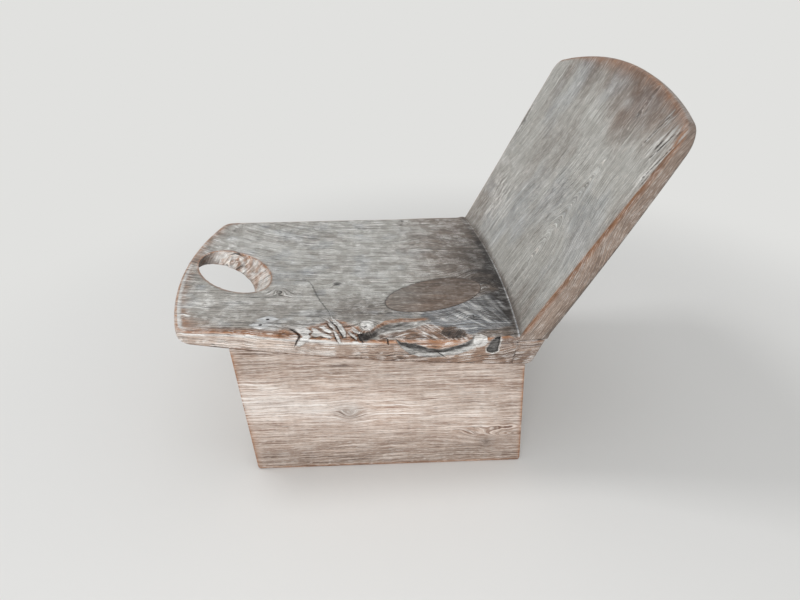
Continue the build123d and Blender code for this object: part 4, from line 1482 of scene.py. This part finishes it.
def backPlace(x, s, d):
    # s is stretched so that the foot stands on the seam
    foot = (d * math.sin(backAngle) - chair["housingDepth"]) / math.cos(backAngle)
    s = foot + s * (backLook["length"] - foot) / backLook["length"]
    return creasePoint + np.outer(s, backUp) - np.outer(d, backOut) + np.outer(x, (1, 0, 0))


def backFace(p):
    x, s = p[:, 0], p[:, 1]
    share = np.clip(np.abs(x) / backHalf(s), 0, 1) ** 2
    hollow = chair["footHollow"] + (backLook["topHollow"] - chair["footHollow"]) * s / backLook["length"]
    wave = 0.5 * layeredNoise(x / 80, s / 120, 15, 2) * ease(2, 25, s)
    return backPlace(x, s, hollow * (1 - share) + wave)


def backRear(p):
    x, s = p[:, 0], p[:, 1]
    share = np.clip(np.abs(x) / backHalf(s), 0, 1) ** 2
    return backPlace(x, s, backDepth(s) + backLook["swell"] * (1 - share))


def backOutline():
    shoulder, length, half = backLook["shoulder"], backLook["length"], backLook["shoulderHalfWidth"]
    crown = arcThrough((half, shoulder), (0, length), (-half, shoulder), 60)
    foot = chair["creaseHalfWidth"]
    corners = [(-foot, 0), (foot, 0), (half, shoulder), (-half, shoulder)]
    radii = [1.0, 1.0, backLook["leftCorner"], backLook["rightCorner"]]
    return roundCorners(corners, radii, [[], [], [tuple(q) for q in crown[6:-6]], []])


def backDrawing(points):
    # drawn as the worn edge is, on the back's face: across, and up the back
    hit, ray = alongView(points, creasePoint, backOut)
    hit = hit - creasePoint
    return sideBySide(hit[:, 0], hit @ backUp), ray


# Splits and flaked places on the back: across, up
backWear = {
    "splits": (
        {"path": ((182, 300), (190, 326), (198, 348)), "widths": (0.4, 0.9, 0.5), "depth": 2.0},
        {"path": ((216, 292), (226, 318), (232, 336)), "widths": (0.4, 1.1, 0.5), "depth": 2.5},
        {"path": ((230, 268), (238, 296), (243, 318)), "widths": (0.4, 1.0, 0.5), "depth": 2.5},
    ),
    "streaked": (
        {"at": (196, 344), "reach": (12, 26), "lean": 18,
         "spacing": 3.4, "light": 1.0, "deep": 0.8, "seed": 201},
        {"at": (216, 312), "reach": (13, 36), "lean": 15,
         "spacing": 3.6, "light": 0.95, "deep": 0.9, "seed": 203},
        {"at": (232, 268), "reach": (11, 48), "lean": 10,
         "spacing": 3.2, "light": 0.90, "deep": 0.8, "seed": 207},
        {"at": (240, 334), "reach": (11, 22), "lean": 12,
         "spacing": 3.6, "light": 1.0, "deep": 0.7, "seed": 211},
        {"at": (160, 296), "reach": (7, 12), "lean": 12,
         "spacing": 3.0, "light": 0.75, "deep": 0.4, "seed": 213},
        {"at": (150, 322), "reach": (26, 46), "lean": 16,
         "spacing": 2.6, "light": 0.25, "deep": 0.3, "seed": 217},
        {"at": (-232, 224), "reach": (16, 50), "lean": 0,
         "spacing": 4.5, "light": 0.95, "deep": 0.6, "seed": 219},
        {"at": (-110, 84), "reach": (76, 60), "lean": 0,
         "spacing": 3.4, "light": 0.60, "deep": 0.2, "seed": 223},
        {"at": (40, 190), "reach": (90, 110), "lean": 4,
         "spacing": 2.4, "light": 0.22, "deep": 0.16, "seed": 227},
    ),
}

backTone = {
    "footBrown": {"at": (-200, 60), "reach": (45, 70)},
    "blotch": {"at": (70, 339), "reach": (16, 10)},
    "speckled": ({"at": (-150, 92), "reach": (60, 52)}, {"at": (-236, 200), "reach": (16, 70)}),
    "arch": {"at": (92, 160), "lean": 0.08, "round": 13, "height": 24, "reach": 55},
}


def wearBack(x, s, depths, edge, drawing, fineWave):
    # how deep each point sinks along its slanting line, with its light and dark masks
    u, t = drawing.T
    # the front arris on the left is ragged
    arris = peak(np.where(depths < 0.01, edge, depths), 0, 5.0) * (x > 150) * ease(0, 40, s)
    depth = arris * (0.9 + 1.3 * np.clip(layeredNoise(s / 14, x * 0, 57, 3), -1, 1))
    silver, dark = np.zeros(len(x)), np.zeros(len(x))
    front = depths < backDepth(s) * 0.9
    for area in backWear["streaked"]:
        du, dt = u - area["at"][0], t - area["at"][1]
        c, k = math.cos(math.radians(area["lean"])), math.sin(math.radians(area["lean"]))
        across, along = c * du - k * dt, k * du + c * dt
        body = ease(1.15, 0.45, np.hypot(across / area["reach"][0], along / area["reach"][1])) * front
        lines = layeredNoise(across / area["spacing"], along / 26, area["seed"], 2)
        light, deep = body * ease(0.22, 0.62, lines), body * ease(0.20, 0.60, -lines)
        silver = raised(silver, area["light"] * light)
        dark = raised(dark, area["deep"] * deep)
        depth += 1.3 * deep - 0.3 * light
    for split in backWear["splits"]:
        q = pathDistance(drawing, split["path"], split["widths"])
        body = ease(1.1, 0.4, q + 0.2 * fineWave) * front
        depth += split["depth"] * body
        dark = raised(dark, 0.85 * body)
        beside = pathDistance(drawing - (2.2, 0), split["path"], split["widths"])
        silver = raised(silver, 0.8 * ease(1.3, 0.5, beside) * front) * (1 - body)
    return depth, silver, dark


def makeBack():
    loop = spacedLoop(backOutline(), lambda q: np.where((q[:, 0] > 200) & (q[:, 1] > 4), 1.8, 3.4))
    radius = 0.5 + (backLook["edgeRadius"] - 0.5) * ease(1, 12, loop[:, 1])
    shell = newShell()
    frontEdge, rearEdge = addBoard(shell, loop, radius, radius, backFace, backRear, backLook["wallSteps"])

    def fine(p):
        return ((p[:, 0] > 165) & (p[:, 1] > 240)) | (p[:, 0] > backHalf(p[:, 1]) - 26)

    grid = freeGrid(frontEdge[1], [], backLook["grid"], backLook["fineGrid"], fine)
    addCap(shell, [frontEdge], grid, backFace)
    rearGrid = freeGrid(rearEdge[1], [], backLook["rearGrid"])
    addCap(shell, [rearEdge], rearGrid, backRear, depth=backLook["rearDepth"])
    finishShell(shell)
    points, depths = shell["points"], shell["depths"]
    x, s = shell["params"].T
    edge = loopDistance(shell["params"], loop)
    top = depths < 0.01
    wave = layeredNoise(x / 45, s / 80, 55, 3)
    fineWave = layeredNoise(x / 9, s / 30, 56, 2)
    drawing, ray = backDrawing(points)
    depth, silver, dark = wearBack(x, s, depths, edge, drawing, fineWave)
    points += ray * depth[:, None]

    # rubbed warm along the crown and the edges, brown towards the top and the foot
    topEnd = ease(286, 392, s + 20 * wave + 0.10 * x)
    reach = 3.0 + 16 * ease(290, 380, s) * ease(-230, 20, x) + 2.0 * ease(100, 220, x)
    rim = peak(edge, 0, reach, 1.6) * top * np.where(s > 20, 1, 0.1)
    warm = raised(0.40 * topEnd * ease(-120, 120, x), 0.95 * rim)
    warm = np.where(top, warm, 0.95 * peak(depths, 0, 6.5) * ease(0, 20, s)) * (0.95 + 0.15 * fineWave)
    dark = raised(dark, 0.42 * peak(np.where(top, -edge, depths), 1.5, 3.5) * (x > 150) * (s > 10))
    dark = raised(dark, 0.46 * topEnd * ease(-150, 80, x) * top)
    brown = 0.30 * ease(0.0, 0.9, wave) + 0.6 * spot(x, s, backTone["footBrown"])
    brown += 0.28 * ease(90, 0, s) * ease(0, 200, x) + 0.62 * topEnd
    speckled = sum(spot(x, s, place) for place in backTone["speckled"])
    specks = ease(0.30, 0.62, layeredNoise(x / 3.6, s / 9, 58, 2)) * np.minimum(speckled, 1)
    silver = raised(silver, 0.5 * spot(x, s, backTone["blotch"]) + 0.9 * specks * top)
    footBand = peak(s, 0, 17 + 5 * wave, 4) * top * ease(-235, -150, x)
    dark = raised(dark, 0.42 * footBand)
    brown = raised(brown, 0.8 * footBand)
    dark = raised(dark, 0.15 * ease(120, 20, s) * ease(70, 190, x) * (1 + fineWave))

    # the sides, darker towards the top and the rear arris
    wall = ~top & (depths < 50)
    brown = np.where(top, brown, 0.48)
    warm = np.where(wall, raised(warm, 0.30), warm)
    wallDark = raised(0.12 + 0.22 * ease(240, 350, s), 0.55 * ease(4, 1, backDepth(s) - depths))
    dark = np.where(wall, raised(dark, wallDark), dark)
    pale = np.where(top, 0, 0.04 + 0.08 * fineWave)
    blue = 0.30 * ease(0.1, 0.9, layeredNoise(x / 60, s / 90, 59, 2)) * top

    # the fibres run up the back and part into arches
    arch = backTone["arch"]
    phase = np.hypot(x - arch["at"][0] - arch["lean"] * s, arch["round"])
    phase = phase + arch["height"] * np.tanh((s - arch["at"][1]) / arch["reach"])
    phase = phase + 2.2 * layeredNoise(x / 70, s / 150, 17, 2) + 1.1 * depths
    finish, tint = (brown, warm * (1 - silver), silver, dark), (pale * (1 - silver), blue * (1 - silver))
    makePiece("backBoard", shell, (phase, s, x + depths), finish, tint, backWood, "back_slab")


makeBack()

# Base boards

baseLook = {
    "sideThickness": 28.0,
    "endThickness": 26.0,
    "endSetback": 31.0,
    "edgeRadius": 2.0,
    "cornerRadius": 4.5,
    "sideGrid": 3.0,
    "endGrid": 4.0,
    "innerGrid": 9.0,
}

# up and along each board
leftBoardKnots = (
    {"at": (114, -100), "reach": (20, 26), "part": 0.80, "core": 6},
    {"at": (42, 117), "reach": (11, 13), "part": 0.6, "core": 7},
)

baseTone = {
    "streak": {"at": (-109, 205), "reach": (18, 2.4)},
    "cathedral": {"height": 56, "reach": 14, "rise": 26},
    "lightBand": {"height": 136, "reach": 32},
}


def evenly(spacing):
    return lambda q: np.full(len(q), spacing)


def fibresRound(phase, z, along, knots):
    for knot in knots:
        pull = spot(z, along, knot)
        phase = phase + (knot["at"][0] - phase) * pull * knot["part"] + knot["core"] * pull**3.5
    return phase


def makeSideBoard(name, node, sign, knots, seed):
    # outline in (y, z); the front map is the outer face
    ys = np.linspace(floorRear, floorFront, 40)
    leaned = ys - underHeight(ys) * leanTan
    top = list(zip(leaned, underHeight(leaned)))
    corners = [(floorFront, 0), (floorRear, 0), top[0], top[-1]]
    radii = [baseLook["cornerRadius"]] * 2 + [0.6] * 2
    loop = spacedLoop(roundCorners(corners, radii, [[], [], top[2:-2], []]), evenly(baseLook["sideGrid"]))

    def outer(p):
        return sideBySide(sign * (halfWidth(p[:, 0]) - chair["baseInset"]), p[:, 0], p[:, 1])

    def inner(p):
        return outer(p) - (sign * baseLook["sideThickness"], 0, 0)

    low = ease(underHeight(loop[:, 0]) - 2, underHeight(loop[:, 0]) - 8, loop[:, 1])
    radius = 0.4 + (baseLook["edgeRadius"] - 0.4) * low
    shell = newShell()
    front, back = addBoard(shell, loop, radius, radius * 0.5, outer, inner, 6)
    addCap(shell, [front], freeGrid(front[1], [], baseLook["sideGrid"]), outer)
    addCap(shell, [back], freeGrid(back[1], [], baseLook["innerGrid"]), inner, depth=baseLook["sideThickness"])
    finishShell(shell)
    points, depths = shell["points"], shell["depths"]
    y, z = shell["params"].T
    edge = -outlineDistance(shell["params"], loop)
    topFace = depths < 0.01
    wave = layeredNoise(y / 90, z / 30, seed, 3)
    unevenness = 0.25 * layeredNoise(y / 60, z / 22, seed + 1, 2) - 0.25
    points[:, 0] += sign * unevenness * ease(0, 8, edge) * topFace
    phase = fibresRound(z + 1.5 * layeredNoise(y / 130, z / 50, seed + 2, 2), z, y, knots)
    dark = np.zeros(len(y))
    if knots:    # a cathedral opens towards the rear, and a dark streak runs under the seat
        cathedral = baseTone["cathedral"]
        phase = phase + cathedral["rise"] * peak(z, cathedral["height"], cathedral["reach"]) * ease(20, 170, y)
        dark = 0.5 * spot(y, z, baseTone["streak"])
    for knot in knots:
        dark = raised(dark, 0.44 * spot(z, y, knot) ** 1.4)
    band = baseTone["lightBand"]
    lightBand = peak(z + 0.16 * (y + 200) - 7 * wave, band["height"], band["reach"])
    lightBand = lightBand * (0.25 + 0.75 * ease(40, -80, y))
    pale = np.clip(0.66 + 0.50 * lightBand + 0.08 * wave, 0, 1)
    # darker towards the bottom, and darker just under the seat with painted shade
    pale = pale * (1 - 0.40 * ease(80, 10, z)) * (1 - 0.10 * ease(150, 195, z))
    warm = np.where(topFace, 0.95 * peak(edge, 0, 4.0, 1.6), 0.9 * peak(depths, 0, 3))
    warm = raised(warm, 0.34 * peak(edge, 0, 12) * ease(-215, -235, y))
    warm = raised(warm * (1 - 0.9 * ease(-10, -2, z - underHeight(y))), 0.08)
    silver = 0.40 * lightBand**2 * ease(-50, -160, y) * (topFace & (sign > 0))
    finish = (0.9 - 0.2 * lightBand, warm, silver, dark)
    makePiece(name, shell, (phase * 0.9, y, points[:, 0]), finish, (pale,), baseWood, node)


def makeEndBoard(name, node, innerY, ahead, seed):
    # outline in (x, z); the board leans with the base
    outerY = innerY + ahead * baseLook["endThickness"]

    def across(z, y):
        return halfWidth(y - z * leanTan) - chair["baseInset"] - baseLook["sideThickness"]

    topZ = underHeight(outerY - underHeight(outerY) * leanTan)
    low, high = across(0, outerY), across(topZ, outerY)
    outline = roundCorners([(-low, 0), (low, 0), (high, topZ), (-high, topZ)], [0.5] * 4)
    loop = spacedLoop(outline, evenly(baseLook["endGrid"]))

    def faceAt(y):
        def place(p):
            z = p[:, 1] / topZ * underHeight(y - underHeight(y) * leanTan)
            share = p[:, 0] / across(p[:, 1], outerY)
            return sideBySide(share * across(z, y), y - z * leanTan, z)
        return place

    outer, inner = faceAt(outerY), faceAt(innerY)
    radius = np.full(len(loop), 0.6)
    shell = newShell()
    front, back = addBoard(shell, loop, radius, radius, outer, inner, 5)
    addCap(shell, [front], freeGrid(front[1], [], baseLook["endGrid"]), outer)
    addCap(shell, [back], freeGrid(back[1], [], baseLook["innerGrid"]), inner, depth=baseLook["endThickness"])
    finishShell(shell)
    x, z = shell["params"].T
    wave = layeredNoise(x / 90, z / 30, seed, 3)
    knots = ({"at": (topZ * 0.4, 60), "reach": (18, 30), "part": 0.7, "core": 7},)
    phase = fibresRound(z + 1.8 * layeredNoise(x / 130, z / 50, seed + 2, 2), z, x, knots)
    fiber = (phase * 0.8, x, shell["points"][:, 1])
    finish = (0.4 + 0.2 * wave, 0.35 * peak(z, 0, 4))
    makePiece(name, shell, fiber, finish, (0.6 + 0.2 * wave,), baseWood, node)


makeSideBoard("leftBoard", "base_side_left", 1, leftBoardKnots, 101)
makeSideBoard("rightBoard", "base_side_right", -1, (), 131)
endInset = baseLook["endSetback"] + baseLook["endThickness"]
makeEndBoard("frontBoard", "base_front_board", floorFront + endInset, -1, 151)
makeEndBoard("rearBoard", "base_rear_board", floorRear - endInset, 1, 171)

# Inner wood and steel keep their solids and get their own finishes


def steelFinish(name, color, roughness, scale):
    material, tree = emptyMaterial(name)
    place = addNode(tree, "ShaderNodeTexCoord").outputs["Object"]
    cloud = noiseOf(tree, place, scale, 3.0, 0.6, "3D")
    shade = colorSteps(tree, cloud, ((0.3, (*(c * 0.7 for c in color), 1)), (0.7, (*color, 1))))
    rough = calc(tree, "MULTIPLY_ADD", cloud, 0.22, roughness)
    relief = addNode(tree, "ShaderNodeBump", {"Height": cloud, "Strength": 0.12, "Distance": 0.0002})
    inputs = {"Base Color": shade, "Roughness": rough, "Normal": relief.outputs["Normal"], "Metallic": 1.0}
    finishTree(tree, "ShaderNodeOutputMaterial", addNode(tree, "ShaderNodeBsdfPrincipled", inputs))
    return material


innerLook = dict(woodLook, pale=((132, 104, 80), (176, 146, 116), (206, 180, 150)))
dowelLook = dict(woodLook, pale=((160, 128, 96), (198, 168, 130), (222, 198, 164)))
sideCleatWood = weatheredWood("cleatWoodSide", innerLook, 1)
endCleatWood = weatheredWood("cleatWoodEnd", innerLook, 0)
blockWood = weatheredWood("blockWood", innerLook, 2)
backDowelWood = weatheredWood("dowelWoodBack", dowelLook, 2)
baseDowelWood = weatheredWood("dowelWoodBase", dowelLook, 0)
screwSteel = steelFinish("screwSteel", (0.62, 0.61, 0.59), 0.32, 900.0)
boltSteel = steelFinish("boltSteel", (0.56, 0.57, 0.58), 0.28, 500.0)
innerFinishes = {    # by the start or the end of a solid's name
    "seat_cleat_left": sideCleatWood, "seat_cleat_right": sideCleatWood,
    "seat_cleat_front": endCleatWood, "seat_cleat_rear": endCleatWood,
    "corner_block": blockWood, "back_dowels": backDowelWood, "base_dowels": baseDowelWood,
    "_screws": screwSteel, "back_bolts": boltSteel, "back_washers": boltSteel,
}

for node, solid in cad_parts.items():
    if not solid.hide_render:
        finish, = (innerFinishes[key] for key in innerFinishes if node.startswith(key) or node.endswith(key))
        solid.data.materials.clear()
        solid.data.materials.append(finish)
print("inner pieces finished")
